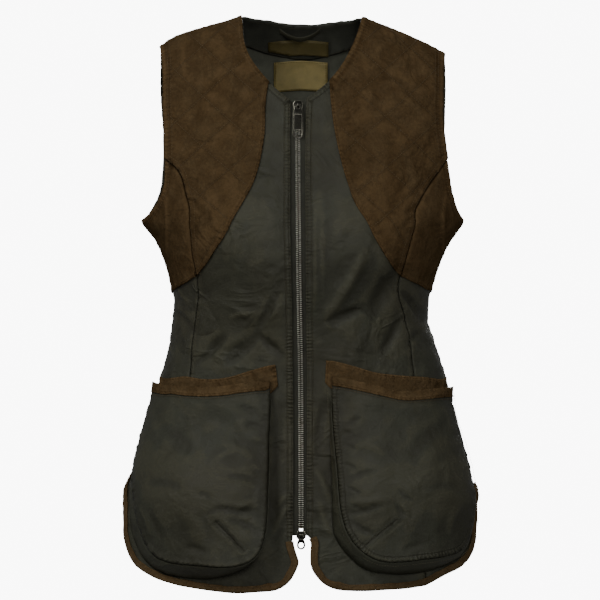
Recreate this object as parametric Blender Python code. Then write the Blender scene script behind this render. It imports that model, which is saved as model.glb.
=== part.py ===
"""A women's sleeveless shooting vest of waxed cotton with suede patches, a two way zip and bellows pockets.

The cloth keeps the hollow form that it has on a wearer: neck, armholes and hem are open. +Z is up, the
front faces -Y and +X is to the viewer's right. The origin lies between the shoulder seams, at the height
where the shoulders carry the vest. All tables are in millimetres, and one factor turns them into metres.
"""

import math

import bmesh
import bpy
import numpy as np
from mathutils import Matrix, Vector
from mathutils.geometry import delaunay_2d_cdt

MM = 0.001

# Walls and gaps
COTTON_THICK = 1.6
SUEDE_THICK = 1.3
TRIM_THICK = 1.1
FACE_THICK = 1.5
GUSSET_THICK = 1.3
TAPE_THICK = 1.0
LABEL_THICK = 1.0
LAYER_GAP = 0.5
SEAM_GAP = 0.4
SEAT_GAP = 0.35
FOOT_GAP = 0.9
BINDING_GAP = 1.4
LABEL_GAP = 1.1
PANEL_OUT = COTTON_THICK / 2
LAYER_IN = PANEL_OUT + LAYER_GAP

# Mesh spacing on each kind of piece
FRONT_STEP = 17.0
PATCH_STEP = 18.0
BACK_STEP = 23.0
BACK_SEAM_STEP = 15.0
POCKET_STEP = 17.0
TRIM_STEP = 15.0
RELIEF_STEP = 13.0
HEM_BACK_STEP = 14.0

# How a mesh is laid out: curve parts between table rows, turn and length between kept points, and margins
SPLINE_PARTS = 12
BEND_LIMIT = math.radians(22)
BEND_STEP_LEAST = 5.0
MITRE_LEAST = 0.2
EDGE_MARGIN = 0.5
EXTRA_MARGIN = 5.0
EXTRA_CLEAR = 0.55
CLOSE = 1e-5
WELD = 0.002
RELAX_ROUNDS = 250
NORMAL_TURN = 0.01
NORMAL_DROP = 1.5
LEAST_REAL = 0.05
FOLD_TAPER = 0.12
SHARP_ANGLE = math.radians(45)

# The body's level sections. The outline of a section is a rounded oval of this exponent
SECTION_POWER = 2.4
SECTION_COLUMNS = ("up", "left_half", "right_half", "front_depth", "back_depth")
SECTIONS = [
    (40, 192, 192, 62, 74),
    (-20, 192, 192, 68, 84),
    (-83, 192, 192, 80, 93),
    (-130, 192, 192, 94, 97),
    (-180, 191, 192, 109, 98),
    (-221, 188, 190, 121, 94),
    (-245, 172, 175, 126, 89),
    (-269, 162, 163, 128, 84),
    (-293, 155, 155, 125, 79),
    (-316, 151, 150, 120, 75),
    (-340, 153, 149, 115, 73),
    (-363, 156, 156, 111, 74),
    (-387, 161, 164, 108, 78),
    (-411, 168, 171, 107, 84),
    (-455, 177, 182, 108, 93),
    (-500, 190, 193, 111, 101),
    (-530, 204, 201, 113, 105),
    (-555, 219, 214, 115, 108),
    (-580, 228, 222, 116, 110),
    (-610, 230, 224, 117, 111),
    (-680, 232, 226, 120, 113),
]
# The shoulder ridge, from the middle of the neck outwards: across, up
RIDGE_HALF = 192.0
RIDGE = {
    "left": [(0, 32), (36, 29), (71, 19), (119, 5), (142, -2.5), (156, -9), (167, -17.5), (192, -36)],
    "right": [(0, 32), (36, 29), (71, 18), (104, 5), (137, -9), (153, -16.5), (168, -25), (192, -45)],
}
# How far down the cloth takes to turn from the ridge to the full depth
TURN_FRONT = 110.0
TURN_BACK = 90.0
# Bust fullness: across, up, radius, height
BUST = [(-72, -228, 92, 8), (72, -228, 92, 8)]
# Domain units per radian round the body, close to the cloth's own length
ROUND_UNIT = 150.0
PAST_SIDE = 400.0
FOOT_LIMIT = 0.9995

# Soft folds in the fronts. Columns: start across and up, end across and up, half width, height
FOLDS = [
    (-30, -314, -50, -352, 10, -3.0),
    (-46, -362, -26, -380, 9, -2.5),
    (-54, -358, -84, -384, 11, -3.0),
    (-93, -360, -114, -382, 10, -2.5),
    (70, -268, 33, -328, 13, 4.0),
    (35, -342, 68, -327, 11, -4.0),
    (20, -190, 22, -312, 9, 2.5),
    (112, -341, 96, -376, 10, -3.0),
    (126, -312, 142, -338, 9, -2.5),
]

# Edges of the fronts: distance across from the middle, and up
NECKLINE = {
    "left": [(71, 19), (69.5, 4), (68, -11), (61, -30), (46, -51), (30, -68), (13, -82)],
    "right": [(71, 18), (68, 8), (60, -14), (47, -39), (33, -57), (19, -69), (5, -79)],
}
ARMHOLE_FRONT = {
    "left": [(167, -17.5), (163, -46), (162.5, -83), (161.5, -104), (160.5, -130), (160.5, -151)],
    "right": [(168, -25), (166, -59), (165, -94), (166, -119), (168, -136), (170, -151)],
}
ARMHOLE_SIDE = {
    "left": [(160.5, -151), (160.5, -165), (162, -185), (172, -206)],
    "right": [(170, -151), (173, -170), (176, -190), (181, -208)],
}
ARMHOLE_BACK = {
    "left": [(167, -17.5), (168.5, -46), (168, -83), (166, -120), (166, -155), (170, -188), (180, -210)],
    "right": [(168, -25), (171, -60), (170.5, -95), (170, -125), (172, -158), (176, -188), (184, -211)],
}
SHOULDER_SPAN = {"left": (71, 167), "right": (71, 168)}
PRINCESS = {
    "left": [
        (160.5, -151), (144, -166), (136, -190), (130, -219), (127.5, -257), (123, -286), (121.5, -311),
        (125, -339), (129, -370), (132, -408), (136, -458), (139, -517), (143, -576), (145, -652),
    ],
    "right": [
        (170, -151), (159, -167), (147, -184), (137, -201), (131, -215), (126, -245), (118, -277),
        (113, -299), (114.5, -316), (120, -335), (126, -358), (129, -384), (132, -408), (136, -458),
        (139, -517), (143, -576), (145, -652),
    ],
}
# The fronts' hem, from the zip's foot round to the princess seam, and on to the top of the side vent
HEM_FRONT = {
    "left": [
        (10, -596), (9.5, -603), (6, -615), (3.5, -624), (7, -634), (15, -647), (31, -657), (64, -660),
        (105, -658), (145, -652),
    ],
    "right": [
        (5, -594), (9.5, -598), (10.2, -605), (9.5, -614), (10.5, -629), (16.5, -640), (28, -651), (46, -657),
        (112, -656), (145, -652),
    ],
}
HEM_SIDE = {
    "left": [
        (145, -652), (172, -644), (192, -632.5), (204, -616), (209.5, -597), (210, -575), (210.5, -553),
        (208, -538),
    ],
    "right": [
        (145, -652), (168, -640), (188, -630), (200, -615), (204.5, -600), (205.5, -580), (206, -560),
        (205, -549),
    ],
}
VENT_TOP = {"left": -527.0, "right": -541.0}
ARMPIT = {"left": -221.0, "right": -222.0}
# The back: neck edge from left to right, and half of its hem from the vent inwards
NECK_BACK = [(-71, 19), (-57, 18.5), (-32, 15.3), (-2, 12.4), (33, 14.2), (57, 17), (71, 18)]
HEM_BACK_HALF = [(209, -548), (204, -566), (188, -579), (150, -586), (90, -590)]
HEM_BACK_MIDDLE = -591.0
VENT_ACROSS = 165.0

# Lower edge of the suede patches, from the neckline round to the princess seam, and on to the side seam
PATCH_EDGE_FRONT = {
    "left": [
        (39, -59), (42.5, -83), (44.5, -127), (55, -176), (67, -202), (83, -232), (98, -256), (110, -273),
        (122.6, -288),
    ],
    "right": [
        (32, -58), (34, -83), (36.5, -106), (42.5, -139), (53, -180), (62, -207), (77, -231), (88, -253),
        (100, -271), (114, -287),
    ],
}
PATCH_EDGE_SIDE = {
    "left": [(122.6, -288), (131, -293), (143, -300), (152, -306)],
    "right": [(114, -287), (127, -294), (140, -300), (151, -305)],
}
PATCH_SIDE_DROP = 2.0

# Zip
ZIP_LINE = [(-70, -4.5), (-130, -5), (-260, -4), (-434, -1.5), (-620, -1)]
ZIP_TOP = -82.0
TAPE_FOOT = -592.5
ZIP_STEP = 18.0
CENTRE_UPS = (-130, -200, -280, -360, -440, -520)
ZIP_GAP = {"left": [(-70, 8.8), (-620, 8.6)], "right": [(-70, 9.3), (-300, 8.0), (-620, 6.0)]}
TAPE_REACH = 14.0
CHAIN_HALF = 3.0
CHAIN_OUT = 0.9
CHAIN_IN = -2.0
SLIDER_HALF = 5.6
# Half of a slider's outline, in shares of its half width and half length
SLIDER_SHAPE = [(0.61, 1.0), (1.0, 0.45), (0.94, -0.35), (0.72, -1.0)]
SLIDER_BACK = -0.8
SLIDER_FRONT = 3.0
UPPER_SLIDER_UP = -88.0
UPPER_LONG_HALF = 6.0
LOWER_SLIDER_UP = -592.0
LOWER_LONG_HALF = 5.0
BAIL_HALF_WIDTH = 1.0
BAIL_IN = 1.45
BAIL_OUT = 2.65
BAIL_ROOT = 1.0
BAIL_PARTS = 9
HINGE_OUT = 1.9
TAB_THICK = 1.3
EYE_HALF = 1.7
BAR_HALF = 0.65
EYE_FOOT = 4.6
UPPER_LEAN = 1.5
LOWER_LEAN = 3.0
# Pull tabs: the right half of each outline from the crossbar down, then the hole, from the hinge axis
UPPER_TAB = [(2.6, 0.95), (3.5, 0.2), (4.4, -5), (5.8, -10), (6.1, -35.4), (5.2, -38.6), (2.6, -39.4)]
UPPER_WINDOW = [(-3.9, -30.2), (-3.9, -36.6), (3.9, -36.6), (3.9, -30.2)]
LOWER_TAB_NECK = [(2.6, 0.95), (3.3, 0.2), (3.3, -5.4), (4.6, -8.6)]
LOWER_RING_UP = -11.8
LOWER_RING_RADII = (5.0, 5.2)
LOWER_HOLE_RADII = (2.9, 3.1)

# Pockets: the rim of the bellows face and the foot of its gusset, round from the outer top corner.
# Columns: across, up and standoff of the rim, then across and up of the foot
POCKET_RIM = {
    "left": [
        (176, -415, 11, 169, -415),
        (179, -432, 11.5, 174, -432),
        (184, -450, 12, 178, -450),
        (192, -480, 13, 186, -480),
        (199, -508, 13, 194, -508),
        (203, -528, 12, 199, -530),
        (201, -555, 12, 201, -560),
        (195, -588, 15, 196, -598),
        (189, -605, 18, 186, -618),
        (179, -618, 22, 172, -631),
        (162, -625, 26, 157, -638),
        (132, -628, 30, 132, -642),
        (98, -630, 32, 104, -642),
        (73, -626, 32, 78, -632),
        (59, -617, 32, 62, -620),
        (51, -603, 31, 53, -601),
        (46, -579, 29, 49, -579),
        (44, -552, 25, 48, -552),
        (42, -514, 19, 46, -514),
        (41, -480, 14, 44, -480),
        (39, -446, 10, 41, -446),
        (38, -411, 4.7, 38, -411),
    ],
    "right": [
        (178, -421, 11, 172, -421),
        (179, -440, 11, 178, -440),
        (181, -455, 11.5, 182, -455),
        (189, -480, 13, 188, -480),
        (198, -514, 14, 194, -514),
        (206, -545, 14, 196, -545),
        (207, -562, 14, 195, -568),
        (204, -582, 14, 195, -590),
        (200, -598, 16, 189, -606),
        (192, -611, 19, 179, -619),
        (177, -617, 23, 164, -628),
        (150, -621, 27, 142, -635),
        (112, -624, 30, 105, -637),
        (90, -619.5, 30, 76, -632),
        (71, -606.5, 29, 58, -619),
        (58, -589, 28, 44, -602),
        (50, -565, 25, 37, -582),
        (45, -522, 19, 36, -530),
        (40, -480, 13, 35.5, -482),
        (37, -447, 9, 35, -447),
        (35.5, -406, 4.7, 35.5, -406),
    ],
}
# The mouth edge between the rim's ends, from the outer side inwards: across, up, standoff
POCKET_MOUTH = {
    "left": [(169, -417, 13.5), (158, -418, 15), (137, -419, 17), (99, -418, 18), (73, -414, 15), (57, -412, 11)],
    "right": [
        (171, -422, 13.5), (164, -422.5, 14.5), (155, -423, 16), (121, -424, 18.5), (103, -420, 18),
        (75, -413, 15), (57, -409, 11.5),
    ],
}
POCKET_CROWN = 10.0
GUSSET_START = 21.0
BELLOWS_TUCK = 2.5
BELLOWS_SHARE = 0.2
# The suede band on the body behind each mouth, clockwise from the outer top corner
POCKET_BAND_TOP = {
    "left": [(165, -407), (147, -408), (114, -409.5), (86, -407), (60, -399), (31, -392)],
    "right": [(168, -408), (144, -407.5), (113, -405), (84, -401), (61, -394), (28, -387)],
}
POCKET_BAND_FOOT = {
    "left": [(28, -417), (37, -426), (62, -429), (100, -434), (166, -432)],
    "right": [(27, -413), (35, -421), (62, -426), (110, -439), (170, -435)],
}

# Binding widths over the edge
HEM_LEG = 9.0
HEM_LEG_INSIDE = 7.0
HEM_INSET = TRIM_THICK + LAYER_GAP
MOUTH_LEG = 11.5

# Inside the neck
FACING_REACH = 2
FACING_FOOT = [
    (-103, 20), (-97, 1), (-84, -6), (-66, -13), (-41, -21), (-22, -25), (0, -28), (22, -26), (45, -20),
    (66, -13), (84, -6), (97, 1), (103, 20),
]
UPPER_LABEL = [(-41, -6), (-41, -17.5), (-15, -22.5), (32, -23.5), (32, -6)]
LOWER_LABEL = [(-34, -31), (-34, -67), (31, -67), (31, -31)]
LOOP_ENDS = (-27, 22)
LOOP_UP = 8.5
LOOP_SAG = 6.0
LOOP_WIDE = 5.0
LOOP_BOW = 7.5
LOOP_FULLNESS = 0.7
LOOP_THICK = 1.3
LOOP_PARTS = 11

SUEDE = (0.062, 0.036, 0.016)
TRIM_SUEDE = (0.080, 0.046, 0.020)
COTTON = (0.030, 0.031, 0.023)
FACING_CLOTH = (0.020, 0.021, 0.016)
TAPE_CLOTH = (0.022, 0.023, 0.019)
LABEL_DARK = (0.035, 0.031, 0.012)
LABEL_GOLD = (0.165, 0.130, 0.055)
ZIP_METAL = (0.36, 0.35, 0.31)
DARK_METAL = (0.10, 0.10, 0.09)


def clear_scene():
    """Removes every object, so that the file gives the same result wherever it is run."""
    for item in list(bpy.data.objects):
        bpy.data.objects.remove(item, do_unlink=True)


def make_material(name, colour, roughness, metallic=0.0):
    """A Principled material of one colour."""
    material = bpy.data.materials.new(name)
    material.use_nodes = True
    shader = material.node_tree.nodes["Principled BSDF"]
    shader.inputs["Base Color"].default_value = (*colour, 1.0)
    shader.inputs["Roughness"].default_value = roughness
    shader.inputs["Metallic"].default_value = metallic
    return material


def smooth_table(rows):
    """A smooth function through (place, value) rows that never overshoots them."""
    rows = sorted(rows)
    place_at = np.array([row[0] for row in rows], float)
    value = np.array([row[1] for row in rows], float)
    span = np.diff(place_at)
    rise = np.diff(value) / span
    slope = np.zeros(len(place_at))
    slope[0], slope[-1] = rise[0], rise[-1]
    for i in range(1, len(place_at) - 1):
        if rise[i - 1] * rise[i] > 0:
            before, after = 2 * span[i] + span[i - 1], span[i] + 2 * span[i - 1]
            slope[i] = (before + after) / (before / rise[i - 1] + after / rise[i])

    def read(at):
        at = np.clip(np.asarray(at, float), place_at[0], place_at[-1])
        i = np.clip(np.searchsorted(place_at, at) - 1, 0, len(span) - 1)
        t = (at - place_at[i]) / span[i]
        low = (1 + 2 * t) * (1 - t) ** 2 * value[i] + t * (1 - t) ** 2 * span[i] * slope[i]
        high = t * t * (3 - 2 * t) * value[i + 1] + t * t * (t - 1) * span[i] * slope[i + 1]
        return low + high

    return read


def section_table(column):
    """One column of the section table as a smooth function of height."""
    at = SECTION_COLUMNS.index(column)
    return smooth_table([(row[0], row[at]) for row in SECTIONS])


SIGN = {"left": -1, "right": 1}
HALF_WIDTH = {"left": section_table("left_half"), "right": section_table("right_half")}
DEPTH = {"front": section_table("front_depth"), "back": section_table("back_depth")}
TURN = {"front": TURN_FRONT, "back": TURN_BACK}
RIDGE_UP = {side: smooth_table(rows) for side, rows in RIDGE.items()}
ZIP_ACROSS = smooth_table(ZIP_LINE)
GAP_ACROSS = {side: smooth_table(rows) for side, rows in ZIP_GAP.items()}


# The body form

def section_point(angle):
    """Unit outline of a section at an angle from the front: share of the half width, share of the depth."""
    sine, cosine = np.sin(angle), np.cos(angle)
    size = (np.abs(sine) ** SECTION_POWER + np.abs(cosine) ** SECTION_POWER) ** (1 / SECTION_POWER)
    return sine / size, cosine / size


def by_side(across, tables, at):
    """Reads the left or the right table, whichever side a place is on."""
    return np.where(across < 0, tables["left"](at), tables["right"](at))


def ridge_up(share):
    """Height of the shoulder ridge at a share of the half width."""
    return by_side(share, RIDGE_UP, np.abs(share) * RIDGE_HALF)


def down_of(angle, up, half):
    """The length of cloth from the ridge down to a height."""
    share, _ = section_point(angle)
    turn = TURN[half]
    drop = np.maximum(ridge_up(share) - up, 0)
    bend = np.arccos(np.clip(1 - drop / turn, 0, 1))
    return np.where(drop < turn, turn * bend, drop - turn + turn * math.pi / 2)


def form(angle, down, half):
    """A point of the plain body form, without folds."""
    share, outward = section_point(angle)
    turn = TURN[half]
    bend = np.minimum(np.abs(down) / turn, math.pi / 2)
    past = np.maximum(np.abs(down) - turn * math.pi / 2, 0)
    up = ridge_up(share) - turn * (1 - np.cos(bend)) - past
    along = -DEPTH[half](up) * np.sign(down) * np.sin(bend) * outward
    return np.stack([share * by_side(share, HALF_WIDTH, up), along, up], axis=-1)


def relief(points):
    """Height of the bust and of the folds at points of the front."""
    across, up = points[..., 0], points[..., 2]
    height = np.zeros_like(across)
    for bust_across, bust_up, radius, most in BUST:
        away = np.hypot(across - bust_across, up - bust_up) / radius
        height += most * 0.5 * (1 + np.cos(math.pi * np.minimum(away, 1)))
    for x0, z0, x1, z1, half_width, most in FOLDS:
        t = ((across - x0) * (x1 - x0) + (up - z0) * (z1 - z0)) / ((x1 - x0) ** 2 + (z1 - z0) ** 2)
        t = np.clip(t, 0, 1)
        away = np.hypot(across - x0 - t * (x1 - x0), up - z0 - t * (z1 - z0)) / half_width
        taper = np.sin(math.pi * (FOLD_TAPER + (1 - 2 * FOLD_TAPER) * t))
        height += most * taper * 0.5 * (1 + np.cos(math.pi * np.minimum(away, 1)))
    return height


def place(way, half, out=0.0):
    """Points of the cloth at ways (round, down), so far out of the middle of its wall."""
    way = np.asarray(way, float)
    angle, down = way[..., 0] / ROUND_UNIT, way[..., 1]
    base = form(angle, down, half)
    round_step = form(angle + NORMAL_TURN, down, half) - form(angle - NORMAL_TURN, down, half)
    down_step = form(angle, down + NORMAL_DROP, half) - form(angle, down - NORMAL_DROP, half)
    normal = np.cross(down_step, round_step)
    normal /= np.linalg.norm(normal, axis=-1, keepdims=True)
    lift = relief(base) if half == "front" else np.zeros(base.shape[:-1])
    return base + normal * (lift + out)[..., None]


def way_of(across, up, half, standoff=0.0):
    """The way (round, down) to a place seen from the front. One past the half width is on the side seam."""
    across, up = np.asarray(across, float), np.asarray(up, float)
    share = np.clip(across / (by_side(across, HALF_WIDTH, up) + standoff), -1, 1)
    outward = (1 - np.abs(share) ** SECTION_POWER) ** (1 / SECTION_POWER)
    if half == "front":
        angle = np.arctan2(share, outward)
    else:
        angle = np.mod(np.arctan2(share, -outward), 2 * math.pi)
    return np.stack([angle * ROUND_UNIT, down_of(angle, up, half)], axis=-1)


# Edges and outlines, as lists of ways

def spline(points):
    """Many points of a smooth curve through a few."""
    points = np.asarray(points, float)
    padded = np.vstack([2 * points[0] - points[1], points, 2 * points[-1] - points[-2]])
    curve = []
    for a, b, c, d in zip(padded, padded[1:], padded[2:], padded[3:]):
        knots = np.cumsum([0] + [max(math.sqrt(math.dist(p, q)), 1e-6) for p, q in ((a, b), (b, c), (c, d))])
        for t in np.linspace(knots[1], knots[2], SPLINE_PARTS, endpoint=False):
            ab = a + (b - a) * (t - knots[0]) / (knots[1] - knots[0])
            bc = b + (c - b) * (t - knots[1]) / (knots[2] - knots[1])
            cd = c + (d - c) * (t - knots[2]) / (knots[3] - knots[2])
            abc = ab + (bc - ab) * (t - knots[0]) / (knots[2] - knots[0])
            bcd = bc + (cd - bc) * (t - knots[1]) / (knots[3] - knots[1])
            curve.append(abc + (bcd - abc) * (t - knots[1]) / (knots[2] - knots[1]))
    return np.array(curve + [points[-1]])


def thin_out(curve, step):
    """Keeps a point of a curve after each step of length, and sooner where the curve bends."""
    kept, run, turned = [0], 0.0, 0.0
    for i in range(1, len(curve) - 1):
        before, after = curve[i] - curve[i - 1], curve[i + 1] - curve[i]
        run += np.linalg.norm(before[:2])
        cross = before[0] * after[1] - before[1] * after[0]
        turned += abs(math.atan2(cross, before[0] * after[0] + before[1] * after[1]))
        if run >= step or (turned > BEND_LIMIT and run > BEND_STEP_LEAST):
            kept.append(i)
            run, turned = 0.0, 0.0
    if run < step / 3 and len(kept) > 1:
        kept.pop()
    return curve[kept + [len(curve) - 1]]


def edge(rows, side, half, step):
    """An edge of a piece: a smooth curve through its table rows."""
    across = SIGN[side] * np.array([row[0] for row in rows], float)
    ways = way_of(across, [row[1] for row in rows], half)
    return thin_out(spline(ways), step)


def edge_parts(rows, side, half, step, stop):
    """An edge in two parts, before and after a point that it passes."""
    across = SIGN[side] * np.array([row[0] for row in rows], float)
    curve = spline(way_of(across, [row[1] for row in rows], half))
    at = int(np.argmin(np.linalg.norm(curve - way_of(SIGN[side] * stop[0], stop[1], half), axis=1)))
    return thin_out(curve[:at + 1], step), thin_out(curve[at:], step)


def side_seam(side, half, low, high, step):
    """The side seam between two heights, going up."""
    angle = SIGN[side] * math.pi / 2 + (2 * math.pi if half == "back" and side == "left" else 0)
    ups = np.linspace(low, high, max(2, round(abs(high - low) / step) + 1))
    return np.stack([np.full(len(ups), angle * ROUND_UNIT), down_of(angle, ups, half)], axis=-1)


def shoulder_seam(side, half, step, near, far):
    """The shoulder seam outwards between two distances across."""
    shares = SIGN[side] * np.linspace(near, far, round((far - near) / step) + 1) / RIDGE_HALF
    outward = (1 - np.abs(shares) ** SECTION_POWER) ** (1 / SECTION_POWER)
    angle = np.arctan2(shares, outward)
    if half == "back":
        angle = np.mod(np.arctan2(shares, -outward), 2 * math.pi)
    return np.stack([angle, np.zeros(len(angle))], axis=-1) * ROUND_UNIT


def outline_of(edges, half):
    """Joins edges, each with how far the piece stays inside it, into one closed outline of ways."""
    points, insets = [], []
    for curve, inset in edges:
        points += [p[:2] for p in curve[:-1]]
        insets += [inset] * (len(curve) - 1)
    points, insets = np.array(points), np.array(insets)
    ahead = np.roll(points, -1, axis=0) - points
    area = np.sum(points[:, 0] * np.roll(points[:, 1], -1) - points[:, 1] * np.roll(points[:, 0], -1))
    inward = np.stack([-ahead[:, 1], ahead[:, 0]], axis=-1) * np.sign(area)
    inward /= np.linalg.norm(inward, axis=-1, keepdims=True)
    moved = []
    for i, point in enumerate(points):
        one, two, far, near = inward[i - 1], inward[i], insets[i - 1], insets[i]
        cross = one[0] * two[1] - one[1] * two[0]
        if abs(cross) < MITRE_LEAST:
            moved.append((one * far + two * near) / 2)
        else:
            moved.append(np.array([two[1] * far - one[1] * near, one[0] * near - two[0] * far]) / cross)
    moved = np.array(moved)
    wanted = np.linalg.norm(moved, axis=1, keepdims=True)
    aside = moved / np.maximum(wanted, 1e-9)
    return step_in(points, aside, wanted, half)


def inside(points, outline):
    """Which points lie inside an outline."""
    result = np.zeros(len(points), bool)
    for a, b in zip(outline, np.roll(outline, -1, axis=0)):
        if a[1] == b[1]:
            continue
        crosses = (points[:, 1] < a[1]) != (points[:, 1] < b[1])
        at = a[0] + (points[:, 1] - a[1]) * (b[0] - a[0]) / (b[1] - a[1])
        result ^= crosses & (points[:, 0] < at)
    return result


def away_from(points, outline):
    """Distance of points from an outline."""
    best = np.full(len(points), np.inf)
    for a, b in zip(outline, np.roll(outline, -1, axis=0)):
        t = np.clip(((points - a) @ (b - a)) / max((b - a) @ (b - a), 1e-9), 0, 1)
        best = np.minimum(best, np.linalg.norm(points - a - t[:, None] * (b - a), axis=1))
    return best


def fold_points():
    """Ways along the middle and both feet of each fold, where the mesh must follow it."""
    ways = []
    for x0, z0, x1, z1, half_width, _ in FOLDS:
        length = math.hypot(x1 - x0, z1 - z0)
        aside = ((z1 - z0) / length * half_width, -(x1 - x0) / length * half_width)
        for t in np.linspace(0, 1, round(length / RELIEF_STEP) + 1):
            for reach in (-1, 0, 1):
                across = x0 + t * (x1 - x0) + reach * aside[0]
                ways.append(way_of(across, z0 + t * (z1 - z0) + reach * aside[1], "front"))
    return np.array(ways)


def fill(outline, step, extra=None, line=None):
    """Triangles that fill an outline, with points inside it about a step apart. Their edges keep to a line
    of points from one outline point to another, where it is given."""
    low, high = outline.min(axis=0), outline.max(axis=0)
    rows = np.arange(low[1] + step / 2, high[1], step * math.sqrt(3) / 2)
    columns = np.arange(low[0], high[0], step)
    lattice = [(x + i % 2 * step / 2, y) for i, y in enumerate(rows) for x in columns]
    chosen = np.array(lattice) if lattice else np.zeros((0, 2))
    if extra is not None and len(extra):
        extra = extra[inside(extra, outline)]
        extra = extra[away_from(extra, outline) > EXTRA_MARGIN]
        if len(extra):
            near = np.linalg.norm(chosen[:, None] - extra[None], axis=2).min(axis=1)
            chosen = np.vstack([chosen[near > step * EXTRA_CLEAR], extra])
    if len(chosen):
        chosen = chosen[inside(chosen, outline)]
    if len(chosen):
        chosen = chosen[away_from(chosen, outline) > step * EDGE_MARGIN]
    kept_edges = []
    if line is not None:
        first, last = (int(np.argmin(np.linalg.norm(outline - end, axis=1))) for end in (line[0], line[-1]))
        on_line = line[1:-1]
        chosen = chosen[away_from(chosen, np.vstack([line, line[::-1]])) > step * EDGE_MARGIN]
        start = len(outline) + len(chosen)
        chosen = np.vstack([chosen, on_line])
        chain = [first, *range(start, start + len(on_line)), last]
        kept_edges = list(zip(chain, chain[1:]))
    points = [Vector(p) for p in np.vstack([outline, chosen])]
    rim = [list(range(len(outline)))]
    flat, _, triangles, origins, _, _ = delaunay_2d_cdt(points, kept_edges, rim, 1, CLOSE)
    on_rim = [min(source) if source and min(source) < len(outline) else None for source in origins]
    return np.array([tuple(p) for p in flat]), [tuple(t) for t in triangles], on_rim


# Solids

def add_solid(name, points, faces, material):
    """A closed mesh object, from points in millimetres."""
    mesh = bpy.data.meshes.new(name)
    mesh.from_pydata([tuple(p) for p in np.asarray(points) * MM], [], [tuple(f) for f in faces])
    work = bmesh.new()
    work.from_mesh(mesh)
    bmesh.ops.remove_doubles(work, verts=work.verts, dist=WELD * MM)
    bmesh.ops.recalc_face_normals(work, faces=work.faces)
    work.to_mesh(mesh)
    work.free()
    mesh.shade_smooth()
    mesh.set_sharp_from_angle(angle=SHARP_ANGLE)
    mesh.materials.append(material)
    item = bpy.data.objects.new(name, mesh)
    bpy.context.scene.collection.objects.link(item)
    return item


def wall(name, flat, triangles, half, inner, outer, material):
    """A sheet with thickness: the same triangles at two heights, joined round their rim."""
    used = sorted({i for t in triangles for i in t})
    triangles = [tuple(used.index(i) for i in t) for t in triangles]
    count = len(used)
    levels = [np.broadcast_to(level, len(flat))[used] for level in (outer, inner)]
    points = np.vstack([place(flat[used], half, level) for level in levels])
    edges = {}
    for t in triangles:
        for a, b in zip(t, t[1:] + t[:1]):
            edges[(a, b)] = edges.get((a, b), 0) + 1
    rim = [(a, b) for a, b in edges if (b, a) not in edges]
    faces = list(triangles) + [tuple(i + count for i in reversed(t)) for t in triangles]
    faces += [(b, a, a + count, b + count) for a, b in rim]
    return add_solid(name, points, faces, material)


def panel(name, edges, half, inner, outer, step, material, extra=None, line=None):
    """A cloth piece that follows the body form inside its edges. Gives its ways and triangles."""
    flat, triangles, _ = fill(outline_of(edges, half), step, extra, line)
    wall(name, flat, triangles, half, inner, outer, material)
    return flat, triangles


def layer(name, sheet, border, half, inner, outer, material):
    """A piece that lies on a sheet inside a border, made from the sheet's own points."""
    flat, triangles = sheet
    middles = np.array([flat[list(t)].mean(axis=0) for t in triangles])
    chosen = [t for t, keep in zip(triangles, inside(middles, border)) if keep]
    wall(name, flat, chosen, half, inner, outer, material)


def inward_ways(path, turn_left):
    """Unit ways at right angles to a path, to its left or its right."""
    ahead = np.diff(path[:, :2], axis=0)
    ahead /= np.linalg.norm(ahead, axis=1, keepdims=True)
    ahead = np.vstack([ahead[:1], ahead[:-1] + ahead[1:], ahead[-1:]])
    aside = np.stack([-ahead[:, 1], ahead[:, 0]], axis=-1) * (1 if turn_left else -1)
    return aside / np.linalg.norm(aside, axis=-1, keepdims=True)


def step_in(path, aside, reach, half):
    """Ways so many millimetres of cloth to one side of a path."""
    real = np.linalg.norm(place(path + aside, half) - place(path, half), axis=-1, keepdims=True)
    return path + aside * reach / np.maximum(real, LEAST_REAL)


def tube(name, rings, material):
    """A closed solid through rings of points, with flat ends."""
    count, around = len(rings), len(rings[0])
    points = [p for ring in rings for p in ring]
    faces = []
    for i in range(count - 1):
        for j in range(around):
            k = (j + 1) % around
            faces.append((i * around + j, i * around + k, (i + 1) * around + k, (i + 1) * around + j))
    faces.append(tuple(range(around)))
    faces.append(tuple((count - 1) * around + j for j in reversed(range(around))))
    return add_solid(name, points, faces, material)


def binding(name, path, half, turn_left, material):
    """A suede strip folded over an edge of the cloth, a leg on each face. It stops short of both ends."""
    low, high = PANEL_OUT + BINDING_GAP, PANEL_OUT + BINDING_GAP + TRIM_THICK
    section = [
        (HEM_LEG, low), (HEM_LEG, high), (TRIM_THICK, high), (0, 0), (TRIM_THICK, -high),
        (HEM_LEG_INSIDE, -high), (HEM_LEG_INSIDE, -low), (TRIM_THICK, -low), (TRIM_THICK, low),
    ]
    aside = inward_ways(path, turn_left)[1:-1]
    columns = [place(step_in(path[1:-1], aside, reach, half), half, out) for reach, out in section]
    return tube(name, np.stack(columns, axis=1), material)


# The cloth pieces

def centre_edge(side):
    """Front edge beside the zip, going down."""
    ups = [NECKLINE[side][-1][1], *CENTRE_UPS, HEM_FRONT[side][0][1]]
    rows = [(SIGN[side] * float(ZIP_ACROSS(up)) + float(GAP_ACROSS[side](up)), up) for up in ups]
    rows[0], rows[-1] = NECKLINE[side][-1], HEM_FRONT[side][0]
    return edge(rows, side, "front", FRONT_STEP)


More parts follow.
